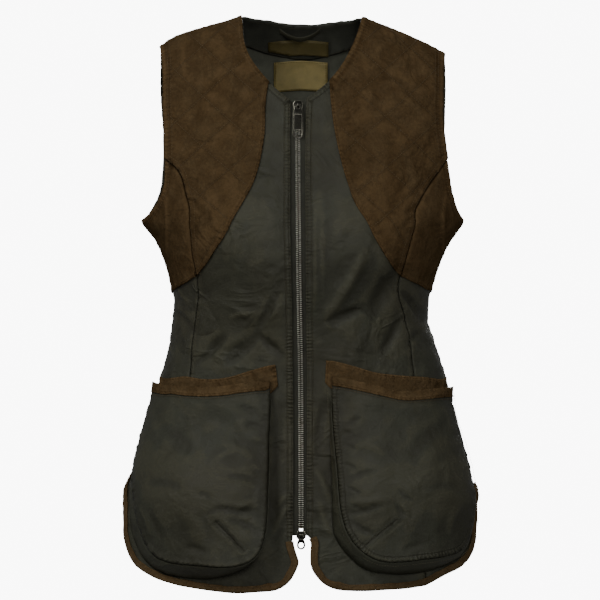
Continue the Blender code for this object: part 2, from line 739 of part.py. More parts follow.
def build_front(side, cotton, suede):
    """One front, its side panel, and the suede patches on both."""
    patch_start, patch_turn = PATCH_EDGE_FRONT[side][0], PATCH_EDGE_FRONT[side][-1]
    neck_high, neck_low = edge_parts(NECKLINE[side], side, "front", FRONT_STEP, patch_start)
    princess_high, princess_low = edge_parts(PRINCESS[side], side, "front", FRONT_STEP, patch_turn)
    hem = edge(HEM_FRONT[side], side, "front", TRIM_STEP)
    side_hem = edge(HEM_SIDE[side] + [(PAST_SIDE, VENT_TOP[side])], side, "front", TRIM_STEP)
    armhole = edge(ARMHOLE_FRONT[side], side, "front", FRONT_STEP)
    underarm = edge(ARMHOLE_SIDE[side] + [(PAST_SIDE, ARMPIT[side])], side, "front", FRONT_STEP)
    shoulder = shoulder_seam(side, "front", FRONT_STEP, *SHOULDER_SPAN[side])
    seam = SEAM_GAP / 2
    suede_out = LAYER_IN + SUEDE_THICK

    patch_edge = edge(PATCH_EDGE_FRONT[side], side, "front", FRONT_STEP)
    patch_edge[0], patch_edge[-1] = neck_high[-1], princess_high[-1]
    sheet = panel(
        "front_" + side,
        [(neck_high, 0), (neck_low, 0), (centre_edge(side), 0), (hem, HEM_INSET), (princess_low[::-1], seam),
         (princess_high[::-1], seam), (armhole[::-1], 0), (shoulder[::-1], seam)],
        "front", -PANEL_OUT, PANEL_OUT, FRONT_STEP, cotton, fold_points(), patch_edge,
    )
    border = np.vstack([neck_high, patch_edge, princess_high[::-1], armhole[::-1], shoulder[::-1]])
    layer("patch_front_" + side, sheet, border, "front", LAYER_IN, suede_out, suede["patch"])

    side_low = PATCH_EDGE_SIDE[side][-1][1] - PATCH_SIDE_DROP
    seam_low = side_seam(side, "front", VENT_TOP[side], side_low, FRONT_STEP)
    seam_high = side_seam(side, "front", side_low, ARMPIT[side], FRONT_STEP)
    side_edge = edge(PATCH_EDGE_SIDE[side] + [(PAST_SIDE, side_low)], side, "front", FRONT_STEP)
    side_edge[0], side_edge[-1] = princess_high[-1], seam_high[0]
    sheet = panel(
        "side_" + side,
        [(princess_high, seam), (princess_low, seam), (side_hem, HEM_INSET), (seam_low, seam),
         (seam_high, seam), (underarm[::-1], 0)],
        "front", -PANEL_OUT, PANEL_OUT, FRONT_STEP, cotton, fold_points(), side_edge,
    )
    border = np.vstack([princess_high, side_edge, seam_high, underarm[::-1]])
    layer("patch_side_" + side, sheet, border, "front", LAYER_IN, suede_out, suede["patch"])

    binding("hem_binding_" + side, np.vstack([hem[:-1], side_hem]), "front", side == "left", suede["trim"])


def build_back(cotton, facing_cloth, trim):
    """The back, its hem binding, and the facing inside its neck."""
    seam = SEAM_GAP / 2
    neck = edge(NECK_BACK, "right", "back", TRIM_STEP)
    hem_half = [(PAST_SIDE, VENT_TOP["right"])] + HEM_BACK_HALF + [(0, HEM_BACK_MIDDLE)]
    other_half = [(-across, up) for across, up in reversed(HEM_BACK_HALF)] + [(-PAST_SIDE, VENT_TOP["left"])]
    hem = edge(hem_half + other_half, "right", "back", HEM_BACK_STEP)
    shoulders = {side: shoulder_seam(side, "back", FRONT_STEP, *SHOULDER_SPAN[side]) for side in SIGN}
    armhole_rows = {side: ARMHOLE_BACK[side] + [(PAST_SIDE, ARMPIT[side])] for side in SIGN}
    armholes = {side: edge(rows, side, "back", FRONT_STEP) for side, rows in armhole_rows.items()}
    seams = {side: side_seam(side, "back", VENT_TOP[side], ARMPIT[side], BACK_SEAM_STEP) for side in SIGN}
    foot = edge(FACING_FOOT, "right", "back", TRIM_STEP)
    foot[0], foot[-1] = shoulders["left"][FACING_REACH], shoulders["right"][FACING_REACH]
    loop = [
        (neck, 0), (shoulders["right"], seam), (armholes["right"], 0), (seams["right"][::-1], seam),
        (hem, HEM_INSET), (seams["left"], seam), (armholes["left"][::-1], 0), (shoulders["left"][::-1], seam),
    ]
    inner_row = step_in(hem, inward_ways(hem, False), HEM_LEG + 1, "back")
    inner_row = inner_row[np.abs(place(hem, "back")[:, 0]) > VENT_ACROSS]
    sheet = panel("back", loop, "back", -PANEL_OUT, PANEL_OUT, BACK_STEP, cotton, inner_row, foot)
    binding("hem_binding_back", hem, "back", False, trim)
    ends = {side: shoulders[side][:FACING_REACH + 1] for side in SIGN}
    border = np.vstack([neck, ends["right"], foot[::-1], ends["left"][::-1]])
    layer("neck_facing", sheet, border, "back", -LAYER_IN - TRIM_THICK, -LAYER_IN, facing_cloth)


def build_labels(dark, gold):
    """Two plain labels inside the back of the neck."""
    on_facing = LAYER_IN + TRIM_THICK + LABEL_GAP
    on_back = PANEL_OUT + LABEL_GAP
    for name, rows, high, material in (
        ("label_upper", UPPER_LABEL, -on_facing, dark), ("label_lower", LOWER_LABEL, -on_back, gold),
    ):
        corners = zip(rows, rows[1:] + rows[:1])
        sides = [(edge(pair, "right", "back", PATCH_STEP), 0) for pair in corners]
        panel(name, sides, "back", high - LABEL_THICK, high, PATCH_STEP, material)


def build_hanger_loop(cotton):
    """The hanger loop, which bows away from the facing."""
    rings = []
    for t in np.linspace(0, 1, LOOP_PARTS):
        across = LOOP_ENDS[0] + t * (LOOP_ENDS[1] - LOOP_ENDS[0])
        up = LOOP_UP - LOOP_SAG * math.sin(math.pi * t)
        near = LAYER_IN + TRIM_THICK + LAYER_GAP + LOOP_BOW * math.sin(math.pi * t) ** LOOP_FULLNESS
        ring = []
        for reach, out in ((0.5, near), (0.5, near + LOOP_THICK), (-0.5, near + LOOP_THICK), (-0.5, near)):
            ring.append(place(way_of(across, up + reach * LOOP_WIDE, "back"), "back", -out))
        rings.append(ring)
    tube("hanger_loop", rings, cotton)


# The bellows pockets

def rim_path(side):
    """The pocket rim as rows of face way, standoff and foot way, with a row at each end of the trim."""
    table = np.array(POCKET_RIM[side], float)
    across, up, standoff, foot_across, foot_up = table.T
    across, foot_across = across * SIGN[side], foot_across * SIGN[side]
    limit = by_side(across, HALF_WIDTH, foot_up) * FOOT_LIMIT
    foot = way_of(np.clip(foot_across, -limit, limit), foot_up, "front")
    rows = np.hstack([way_of(across, up, "front", standoff), standoff[:, None], foot])
    curve = spline(rows)
    run = np.concatenate([[0], np.cumsum(np.linalg.norm(np.diff(curve[:, :2], axis=0), axis=1))])
    first = int(np.searchsorted(run, MOUTH_LEG))
    last = int(np.searchsorted(run, run[-1] - MOUTH_LEG))
    middle = thin_out(curve[first:last + 1], POCKET_STEP)
    return np.vstack([curve[:1], middle, curve[-1:]])


def relaxed(count, triangles, fixed):
    """Heights over a mesh that are even between fixed ones, and a swell that is nil at the fixed ones."""
    near = [set() for _ in range(count)]
    for t in triangles:
        for a, b in zip(t, t[1:] + t[:1]):
            near[a].add(b)
            near[b].add(a)
    heights = np.full(count, np.mean(list(fixed.values())))
    swell = np.zeros(count)
    for i, value in fixed.items():
        heights[i] = value
    free = [i for i in range(count) if i not in fixed]
    for _ in range(RELAX_ROUNDS):
        for i in free:
            ring = list(near[i])
            heights[i] = heights[ring].mean()
            swell[i] = swell[ring].mean() + 1.0
    return heights, swell / max(swell.max(), 1e-6)


def build_pocket(side, cotton, suede):
    """A bellows pocket: its face, the suede trim on its mouth, its gusset, and the band behind its mouth."""
    rim = rim_path(side)
    mouth_rows = np.array(POCKET_MOUTH[side], float)
    mouth_way = way_of(mouth_rows[:, 0] * SIGN[side], mouth_rows[:, 1], "front", mouth_rows[:, 2])
    mouth_knots = np.vstack([rim[:1, :3], np.hstack([mouth_way, mouth_rows[:, 2:]]), rim[-1:, :3]])
    mouth = thin_out(spline(mouth_knots), TRIM_STEP)
    outline = np.vstack([rim[:-1, :3], mouth[:0:-1]])
    foot_line = np.vstack([rim[1, :2], mouth[1:-1, :2] + np.array([0, MOUTH_LEG]), rim[-2, :2]])

    flat, triangles, on_rim = fill(outline[:, :2], POCKET_STEP, None, foot_line)
    fixed = {i: outline[source, 2] for i, source in enumerate(on_rim) if source is not None}
    heights, swell = relaxed(len(flat), triangles, fixed)
    heights = heights + POCKET_CROWN * swell
    wall("pocket_face_" + side, flat, triangles, "front", heights - FACE_THICK, heights, cotton)

    low = heights + LAYER_GAP
    strip = np.vstack([mouth[:, :2], foot_line[::-1]])
    layer("pocket_trim_" + side, (flat, triangles), strip, "front", low, low + TRIM_THICK, suede["trim"])

    run = np.concatenate([[0], np.cumsum(np.linalg.norm(np.diff(rim[:, :2], axis=0), axis=1))])
    part = rim[(run > GUSSET_START) & (run < run[-1] - GUSSET_START)]
    face_way, standoff, foot_way = part[:, :2], part[:, 2], part[:, 3:]
    turn_left = side == "left"
    into_face, into_foot = inward_ways(face_way, turn_left), inward_ways(foot_way, turn_left)
    under = standoff - FACE_THICK - SEAT_GAP
    top_out = place(step_in(face_way, into_face, SEAT_GAP, "front"), "front", under)
    top_in = place(step_in(face_way, into_face, SEAT_GAP + GUSSET_THICK, "front"), "front", under)
    foot_out = place(foot_way, "front", PANEL_OUT + FOOT_GAP)
    foot_in = place(step_in(foot_way, into_foot, GUSSET_THICK, "front"), "front", PANEL_OUT + FOOT_GAP)
    tall = np.linalg.norm(top_out - foot_out, axis=1, keepdims=True)
    tuck = (top_in - top_out) / GUSSET_THICK * np.minimum(BELLOWS_TUCK, tall * BELLOWS_SHARE)
    waist_out, waist_in = (top_out + foot_out) / 2 + tuck, (top_in + foot_in) / 2 + tuck
    rings = np.stack([top_out, waist_out, foot_out, foot_in, waist_in, top_in], axis=1)
    tube("pocket_gusset_" + side, rings, cotton)

    top = edge(POCKET_BAND_TOP[side], side, "front", TRIM_STEP)
    foot = edge(POCKET_BAND_FOOT[side], side, "front", TRIM_STEP)
    ends = [
        edge([POCKET_BAND_TOP[side][-1], POCKET_BAND_FOOT[side][0]], side, "front", TRIM_STEP),
        edge([POCKET_BAND_FOOT[side][-1], POCKET_BAND_TOP[side][0]], side, "front", TRIM_STEP),
    ]
    panel(
        "pocket_band_" + side, [(top, 0), (ends[0], 0), (foot, 0), (ends[1], 0)],
        "front", LAYER_IN, LAYER_IN + TRIM_THICK, TRIM_STEP, suede["trim"],
    )


# The zip

def zip_strip(name, near, far, top, foot, inner, outer, material):
    """A strip along the zip between two distances from its middle."""
    ups = np.linspace(top, foot, round((top - foot) / ZIP_STEP) + 1)
    middle = ZIP_ACROSS(ups)
    sides = [(way_of(middle + near, ups, "front"), 0), (way_of(middle + far, ups, "front")[::-1], 0)]
    loop = [sides[0], (np.vstack([sides[0][0][-1], sides[1][0][0]]), 0), sides[1]]
    loop.append((np.vstack([sides[1][0][-1], sides[0][0][0]]), 0))
    panel(name, loop, "front", inner, outer, ZIP_STEP, material)


def zip_frame(up):
    """A frame on the zip: X to the right, Y up along the cloth and Z out of it, in metres."""
    way = way_of(float(ZIP_ACROSS(up)), up, "front")
    spot = place(way, "front")
    out = place(way, "front", 1.0) - spot
    out[0] = 0
    out /= np.linalg.norm(out)
    right = np.array([1.0, 0.0, 0.0])
    along = np.cross(out, right)
    frame = Matrix.Identity(4)
    for column, axis in enumerate((right, along, out)):
        for row in range(3):
            frame[row][column] = axis[row]
    frame.translation = Vector(spot) * MM
    return frame


def plate(name, loops, low, high, frame, material):
    """A flat plate with holes: loops of (x, y), the outside first, from low to high along the frame's Z."""
    points, constraints = [], []
    for loop in loops:
        start = len(points)
        points += [Vector(p) for p in loop]
        constraints += [(start + i, start + (i + 1) % len(loop)) for i in range(len(loop))]
    flat, _, triangles, _, _, _ = delaunay_2d_cdt(points, constraints, [], 0, CLOSE)
    flat = np.array([tuple(p) for p in flat])
    middles = np.array([flat[list(t)].mean(axis=0) for t in triangles])
    kept = inside(middles, np.array(loops[0]))
    for hole in loops[1:]:
        kept &= ~inside(middles, np.array(hole))
    triangles = [tuple(t) for t, keep in zip(triangles, kept) if keep]
    count = len(flat)
    solid = np.vstack([np.column_stack([flat, np.full(count, level)]) for level in (low, high)])
    edges = {(a, b) for t in triangles for a, b in zip(t, t[1:] + t[:1])}
    faces = [tuple(reversed(t)) for t in triangles] + [tuple(i + count for i in t) for t in triangles]
    faces += [(a, b, b + count, a + count) for a, b in edges if (b, a) not in edges]
    item = add_solid(name, solid, faces, material)
    item.matrix_world = frame
    return item


def arc(x, y, radius_x, radius_y, start, end, parts):
    """Points of an oval arc, angles in degrees."""
    angles = np.radians(np.linspace(start, end, parts))
    return [(x + radius_x * math.cos(a), y + radius_y * math.sin(a)) for a in angles]


def build_slider(name, up, long_half, heads_up, metal):
    """A slider with the bail that its tab hangs from."""
    frame = zip_frame(up)
    turn = 1 if heads_up else -1
    half = [(x * SLIDER_HALF, y * long_half * turn) for x, y in SLIDER_SHAPE]
    outline = half + [(-x, y) for x, y in reversed(half)]
    body = plate(name, [outline], SLIDER_BACK, SLIDER_FRONT, frame, metal)
    hinge = SLIDER_FRONT + HINGE_OUT
    root = SLIDER_FRONT - BAIL_ROOT
    outer = [(BAIL_OUT, root)] + arc(0, hinge, BAIL_OUT, BAIL_OUT, 0, 180, BAIL_PARTS) + [(-BAIL_OUT, root)]
    inner = [(-BAIL_IN, root)] + arc(0, hinge, BAIL_IN, BAIL_IN, 180, 0, BAIL_PARTS) + [(BAIL_IN, root)]
    standing = frame @ Matrix(((0, 0, 1, 0), (1, 0, 0, 0), (0, 1, 0, 0), (0, 0, 0, 1)))
    bail = plate(name + "_bail_shape", [outer + inner], -BAIL_HALF_WIDTH, BAIL_HALF_WIDTH, standing, metal)
    bail.hide_render = True
    bail.display_type = "WIRE"
    union = body.modifiers.new("bail", "BOOLEAN")
    union.operation = "UNION"
    union.object = bail


def build_tab(name, up, outline, window, lean, metal):
    """A pull tab whose crossbar lies in the slider's bail. It leans back against the zip."""
    frame = zip_frame(up) @ Matrix.Translation((0, 0, (SLIDER_FRONT + HINGE_OUT) * MM))
    frame = frame @ Matrix.Rotation(math.radians(lean), 4, "X")
    eye = [(-EYE_HALF, -BAR_HALF), (-EYE_HALF, -EYE_FOOT), (EYE_HALF, -EYE_FOOT), (EYE_HALF, -BAR_HALF)]
    half = [(-x, y) for x, y in reversed(outline) if x > 0]
    return plate(name, [outline + half, eye, window], -TAB_THICK / 2, TAB_THICK / 2, frame, metal)


def build_zip(tape, metal, dark_metal):
    """Tapes, the closed chain as one strip, and a slider with its tab at each end."""
    tape_out = -LAYER_IN
    for side, sign in SIGN.items():
        zip_strip(
            "zip_tape_" + side, sign * TAPE_REACH, sign * (CHAIN_HALF + SEAT_GAP), ZIP_TOP, TAPE_FOOT,
            tape_out - TAPE_THICK, tape_out, tape,
        )
    chain_top = UPPER_SLIDER_UP - UPPER_LONG_HALF - 2 * SEAT_GAP
    chain_foot = LOWER_SLIDER_UP + LOWER_LONG_HALF + 2 * SEAT_GAP
    zip_strip("zip_chain", -CHAIN_HALF, CHAIN_HALF, chain_top, chain_foot, CHAIN_IN, CHAIN_OUT, metal)
    build_slider("slider_upper", UPPER_SLIDER_UP, UPPER_LONG_HALF, True, dark_metal)
    build_slider("slider_lower", LOWER_SLIDER_UP, LOWER_LONG_HALF, False, dark_metal)
    build_tab("pull_tab_upper", UPPER_SLIDER_UP, UPPER_TAB, UPPER_WINDOW, UPPER_LEAN, dark_metal)
    lower = LOWER_TAB_NECK + arc(0, LOWER_RING_UP, *LOWER_RING_RADII, 10, -80, 6)
    hole = arc(0, LOWER_RING_UP, *LOWER_HOLE_RADII, 0, 330, 12)
    build_tab("pull_tab_lower", LOWER_SLIDER_UP, lower, hole, LOWER_LEAN, dark_metal)


def main():
    clear_scene()
    suede = {
        "patch": make_material("suede", SUEDE, 0.95),
        "trim": make_material("suede_trim", TRIM_SUEDE, 0.95),
    }
    cotton = make_material("waxed_cotton", COTTON, 0.6)
    for side in SIGN:
        build_front(side, cotton, suede)
        build_pocket(side, cotton, suede)
    build_back(cotton, make_material("facing_cloth", FACING_CLOTH, 0.8), suede["trim"])
    build_labels(make_material("label_dark", LABEL_DARK, 0.7), make_material("label_gold", LABEL_GOLD, 0.6))
    build_hanger_loop(cotton)
    tape = make_material("zip_tape", TAPE_CLOTH, 0.85)
    metal = make_material("zip_metal", ZIP_METAL, 0.35, 1.0)
    build_zip(tape, metal, make_material("dark_metal", DARK_METAL, 0.4, 1.0))


main()
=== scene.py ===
"""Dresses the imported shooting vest: cloth, suede, stitching, zip and stage, in the frame of its solids.

The tables are in millimetres, and describe the same body form and edges as the solids. +Z is up, the
front faces -Y and +X is to the viewer's right. Each cloth piece is a thin shell on that form, with its
folds, seam dips and puckers raised in its points.
"""

import math

import bmesh
import bpy
import numpy as np
from mathutils import Matrix, Vector, noise
from mathutils.geometry import delaunay_2d_cdt


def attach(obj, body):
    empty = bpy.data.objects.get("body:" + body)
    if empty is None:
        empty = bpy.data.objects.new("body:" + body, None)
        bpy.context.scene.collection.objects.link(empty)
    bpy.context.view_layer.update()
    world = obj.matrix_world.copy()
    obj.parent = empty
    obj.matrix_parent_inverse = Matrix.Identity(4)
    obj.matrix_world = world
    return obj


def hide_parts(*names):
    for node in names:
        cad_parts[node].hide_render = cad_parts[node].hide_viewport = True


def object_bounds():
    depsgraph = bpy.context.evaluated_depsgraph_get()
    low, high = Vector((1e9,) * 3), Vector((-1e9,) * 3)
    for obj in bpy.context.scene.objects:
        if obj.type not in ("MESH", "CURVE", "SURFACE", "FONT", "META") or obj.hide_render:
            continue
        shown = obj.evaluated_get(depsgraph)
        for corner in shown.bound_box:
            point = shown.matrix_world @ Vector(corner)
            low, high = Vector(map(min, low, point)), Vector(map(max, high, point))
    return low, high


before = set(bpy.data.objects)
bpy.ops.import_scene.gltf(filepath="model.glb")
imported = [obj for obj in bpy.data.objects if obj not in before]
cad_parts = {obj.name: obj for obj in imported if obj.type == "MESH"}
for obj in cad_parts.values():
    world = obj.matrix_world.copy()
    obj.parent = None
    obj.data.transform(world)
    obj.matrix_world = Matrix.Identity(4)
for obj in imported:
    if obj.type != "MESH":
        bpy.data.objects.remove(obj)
CAD_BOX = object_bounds()

bl_info = {
    "name": "Vest Cloth",
    "version": (1, 0, 0),
    "blender": (4, 5, 0),
    "location": "View3D > Sidebar > Vest",
    "description": "Dresses a packed vest with cloth, suede, stitching and a zip",
    "category": "Object",
}

MM = 0.001

# Walls and gaps, as in the solids
PANEL_OUT = 0.8
LAYER_IN = 1.3
SUEDE_THICK = 1.3
TRIM_THICK = 1.1
TAPE_THICK = 1.0
LABEL_THICK = 1.0
FACE_THICK = 1.5
GUSSET_THICK = 1.3
BINDING_GAP = 1.4
LABEL_GAP = 1.1
LAYER_GAP = 0.5
SEAM_GAP = 0.4
SEAT_GAP = 0.35
FOOT_GAP = 0.9

# Walls of the fine cloth from the middle of the solids' wall, and how high a thread lies on them
OUTER_WALL = (-0.55, 0.6)
POCKET_WALL = 1.1
TRIM_WALL = 1.0
ON_CLOTH = 0.65

# Fine mesh: spacing, and how a rim, a crease, and the wear and painted shade of raised and sunken cloth are drawn
FINE_STEP = 3.1
EDGE_STEP = 3.4
CREASE_PARTS = 13
CREASE_END = 0.06
CREASE_SHARP = 1.7
CREASE_GAIN = 1.5
RIM_SHARE = 0.32
WEAR_AND_SHADE_GAIN = 3.2
WEAR_AND_SHADE_ROUNDS = 14
FAR_EDGE = 40.0
SHARP = math.radians(38)

# Puckers and the roll beside an edge: how far the first reach, and where the second stands and how wide
PUCKER_REACH = 7.0
ROLL_AT = 2.2
ROLL_REACH = 2.4
# What an edge does to the cloth beside it. Columns: dip, its reach, height of the puckers and of
# the roll, and how much its distances are drawn in for the marks of its stitch lines
EDGE_FINISH = {
    "seam": (0.55, 2.0, 0.5, 0.4, 1.0),
    "flat": (0.35, 1.5, 0.2, 0.4, 9.0),
    "turned": (0.0, 2.0, 0.35, 0.5, 1.0),
    "banded": (0.0, 2.0, 0.25, 0.6, 0.34),
    "under": (0.6, 3.0, 0.0, 0.0, 1.0),
}
# How each cloth lies: height and size of its crumple
CRUMPLE = {"cotton": (0.75, 34.0), "back": (1.1, 48.0), "pocket": (0.8, 38.0), "flat": (0.25, 20.0)}
# Creases, given one by one. Columns: start across and up, end across and up, bow, half width, height
CREASES = {
    "front": [
        (-22, -305, -48, -352, 3, 5, 1.4), (-47, -358, -24, -380, -2, 5, -1.5),
        (-92, -362, -124, -390, 2, 6, -1.6), (-50, -360, -90, -393, 3, 7, -1.5),
        (-84, -336, -48, -333, 2, 6, 1.2), (-84, -236, -87, -274, -2, 7, 1.0),
        (-118, -205, -104, -232, 2, 6, -1.0), (-132, -196, -116, -214, 1, 4, -1.2),
        (-133, -63, -140, -20, 2, 4, 0.9), (72, -260, 31, -336, 3, 7, 2.4), (36, -338, 70, -323, -3, 6, -1.8),
        (28, -332, 27, -343, 1, 3, 1.0), (28, -343, 36, -352, 0, 3, 1.0), (112, -266, 74, -336, 6, 20, -4.0),
        (86, -246, 118, -300, -4, 14, 1.2), (114, -340, 94, -380, 3, 6, -1.6), (80, -362, 100, -350, 2, 5, 1.0),
        (96, -278, 114, -326, -2, 5, 1.0), (91, -55, 124, -64, 3, 4, -1.2), (12, -185, 14, -335, 2, 4, 1.3),
        (21, -200, 22, -318, -2, 5, -1.2), (116, -306, 136, -334, 3, 6, -1.6), (132, -206, 118, -216, 1, 4, -1.3),
        (130, -216, 112, -232, 1, 4, -1.0), (-160, -190, -158, -260, 2, 4, 1.6),
        (168, -190, 165, -262, -2, 4, 1.4), (-150, -330, -128, -352, 2, 6, -1.5),
        (-148, -296, -132, -322, -2, 5, 1.2), (140, -352, 122, -372, -2, 5, -1.3),
        (-33, -588, -15, -557, 2, 5, 2.2), (-28, -560, -17, -545, 2, 4, 1.6), (-34, -604, -22, -584, 2, 4, -1.6),
        (-28, -440, -32, -520, 2, 6, -1.4), (16, -516, 32, -552, 2, 5, 2.0), (20, -552, 34, -592, -2, 5, 2.0),
        (28, -430, 18, -500, -2, 6, -1.6), (-168, -400, -160, -460, 3, 6, 1.3),
        (168, -402, 164, -450, -3, 6, 1.1),
    ],
    "back": [
        (-60, -40, -20, -120, 6, 13, -1.8), (70, -50, 26, -128, -6, 13, -1.6),
        (-150, -70, -110, -150, 8, 12, -1.8), (152, -80, 118, -160, -8, 12, -1.8),
        (-120, -250, -40, -300, 7, 12, 2.0), (-138, -300, -52, -322, -6, 11, -2.2),
        (128, -262, 50, -312, -7, 12, 2.0), (140, -322, 40, -346, 6, 10, -2.0),
        (-70, -352, 60, -362, 7, 11, -1.6), (-100, -190, -60, -260, 4, 12, -1.4),
        (96, -184, 70, -250, -4, 12, -1.4), (-130, -420, -150, -540, 6, 15, 2.4),
        (-60, -430, -70, -560, -6, 16, 2.0), (30, -440, 24, -566, 5, 16, -2.0),
        (110, -420, 134, -550, -6, 15, 2.2), (-20, -410, -16, -470, 3, 12, -1.2),
    ],
}
# Diamond quilting on the suede: slope of its stitch lines, and where they cross the middle of the front
QUILT_SLOPE = 0.88
# Their grooves: reach and depth, then height and reach of the padding between them
QUILT_GROOVE = (1.7, 0.4, 0.08, 9.0)
QUILT_FALLING = {"left": (50, -8, -64, -121, -180, -240, -300), "right": (148, 95, 39, -14, -74, -132)}
QUILT_RISING = {"left": (145, 88, 27, -31, -88, -146, -204), "right": (40, -19, -75, -131, -187, -248, -305)}
GIRTH_UP = -130.0

# Small sizes of the fine pieces. The belly of a pocket: how far out, where up and its reach
RELAX_ROUNDS = 2500
STITCH_STEP = 1.6
POCKET_STEP = 2.7
POCKET_BELLY = (17.0, -546.0, 46.0)
ARMHOLE_INSET = -1.2
DART_MARK = 5.4
UNSTITCHED = 8.0
DART = {"left": ((-112, -577), (-76, -611)), "right": ((123, -575), (75, -611))}
DART_STANDOFF = 40.0
DART_DEPTH = 2.2
DART_RIDGE = 0.7
JOIN = -0.3
QUILT_CLEAR = 6.0
CUT_MARGIN = 1.015
STRIP_SHARE = 0.45
LABEL_STITCH_SHARE = 0.93
TOOTH_WIDE = 2.7
TOOTH_SHIFT = 1.75
TOOTH_TALL = 0.8
TOOTH_DEEP = 2.4
TAB_BORDER = 1.5
# Creases on the pocket faces, as on the fronts
POCKET_CREASES = {
    "left": [
        (-185, -534, -138, -538, 6, 15, -1.7), (-66, -462, -44, -470, 2, 6, -1.4),
        (-104, -506, -74, -492, 3, 6, 1.0), (-126, -540, -104, -551, 2, 4, -1.2),
        (-101, -552, -48, -556, -2, 3.6, 1.5), (-96, -560, -50, -563, -2, 6, -1.6),
        (-82, -566, -48, -550, 3, 4, 1.3), (-110, -566, -88, -560, 2, 4, -1.1), (-92, -486, -60, -500, 3, 6, 1.0),
        (-88, -522, -50, -530, 2, 5, -1.5), (-76, -440, -50, -452, 2, 5, -1.0),
        (-194, -558, -179, -590, 3, 4, 1.6), (-180, -566, -165, -604, 3, 5, -1.4),
        (-140, -560, -120, -598, 4, 12, 1.4), (-136, -606, -112, -612, 2, 5, -1.6),
        (-84, -574, -52, -590, 3, 6, -1.8), (-160, -470, -128, -500, 4, 16, -1.0),
        (-58, -510, -50, -516, 1, 3, 1.1), (-58, -478, -48, -482, 1, 3, 1.1),
    ],
    "right": [
        (117, -556, 120, -574, 4, 3, 3.0), (110, -556, 113, -574, 4, 4, -2.0),
        (186, -536, 140, -542, -6, 15, -1.6), (66, -452, 52, -462, 2, 4, -1.5), (98, -500, 70, -486, -3, 6, 1.2),
        (112, -536, 132, -552, -2, 5, -1.3), (104, -548, 56, -552, 2, 4, 1.5), (92, -556, 54, -566, 2, 5, -1.7),
        (86, -516, 54, -528, -2, 5, -1.5), (88, -478, 58, -496, -3, 5, 1.1), (186, -556, 172, -590, -3, 5, 1.5),
        (142, -556, 126, -590, -4, 12, 1.3), (140, -602, 118, -612, -2, 5, -1.5),
        (62, -576, 86, -590, -3, 6, -1.6), (160, -466, 130, -500, -4, 16, -1.0), (50, -486, 64, -492, 1, 3, -1.5),
        (47, -470, 60, -475, 1, 3, -1.5), (49, -508, 63, -514, 1, 3, -1.5), (53, -536, 68, -542, 1, 3, -1.6),
        (58, -556, 72, -564, 1, 3, -1.4),
    ],
}
# The picture: where the vest's origin and the middle lie in pixels, a pixel's size, and where the face lies
PHOTO_ZERO = (302.0, 32.0)
PHOTO_MIDDLE = 300.0
PIXEL = 1.18
VIEW_PLANE = -60.0

# The stage: sides of its round floor, the bend up into its wall in metres, and the grey of its paper
STAGE_SIDES = 64
WALL_BEND = 0.8
WALL_TOP = 3.4
PAPER = 0.82

# The waxed cotton: its roughness, and how close its weave is
COTTON_ROUGH = 0.52
WEAVE_SCALE = 95.0

# How a mesh is laid out: curve parts between table rows, least mitre, and the steps that give directions
SPLINE_PARTS = 12
MITRE_LEAST = 0.2
NORMAL_TURN = 0.01
NORMAL_DROP = 1.5
LEAST_REAL = 0.05
FOLD_TAPER = 0.12

# The body's level sections. The outline of a section is a rounded oval of this exponent
SECTION_POWER = 2.4
SECTION_COLUMNS = ("up", "left_half", "right_half", "front_depth", "back_depth")
SECTIONS = [
    (40, 192, 192, 62, 74), (-20, 192, 192, 68, 84), (-83, 192, 192, 80, 93), (-130, 192, 192, 94, 97),
    (-180, 191, 192, 109, 98), (-221, 188, 190, 121, 94), (-245, 172, 175, 126, 89), (-269, 162, 163, 128, 84),
    (-293, 155, 155, 125, 79), (-316, 151, 150, 120, 75), (-340, 153, 149, 115, 73), (-363, 156, 156, 111, 74),
    (-387, 161, 164, 108, 78), (-411, 168, 171, 107, 84), (-455, 177, 182, 108, 93), (-500, 190, 193, 111, 101),
    (-530, 204, 201, 113, 105), (-555, 219, 214, 115, 108), (-580, 228, 222, 116, 110),
    (-610, 230, 224, 117, 111), (-680, 232, 226, 120, 113),
]
# The shoulder ridge, from the middle of the neck outwards: across, up
RIDGE_HALF = 192.0
RIDGE = {
    "left": [(0, 32), (36, 29), (71, 19), (119, 5), (142, -2.5), (156, -9), (167, -17.5), (192, -36)],
    "right": [(0, 32), (36, 29), (71, 18), (104, 5), (137, -9), (153, -16.5), (168, -25), (192, -45)],
}
# How far down the cloth takes to turn from the ridge to the full depth
TURN = {"front": 110.0, "back": 90.0}
# Bust fullness: across, up, radius, height
BUST = [(-72, -228, 92, 8), (72, -228, 92, 8)]
# Domain units per radian round the body, close to the cloth's own length
ROUND_UNIT = 150.0
PAST_SIDE = 400.0
FOOT_LIMIT = 0.9995

# Soft folds in the fronts. Columns: start across and up, end across and up, half width, height
FOLDS = [
    (-30, -314, -50, -352, 10, -3.0), (-46, -362, -26, -380, 9, -2.5), (-54, -358, -84, -384, 11, -3.0),
    (-93, -360, -114, -382, 10, -2.5), (70, -268, 33, -328, 13, 4.0), (35, -342, 68, -327, 11, -4.0),
    (20, -190, 22, -312, 9, 2.5), (112, -341, 96, -376, 10, -3.0), (126, -312, 142, -338, 9, -2.5),
]

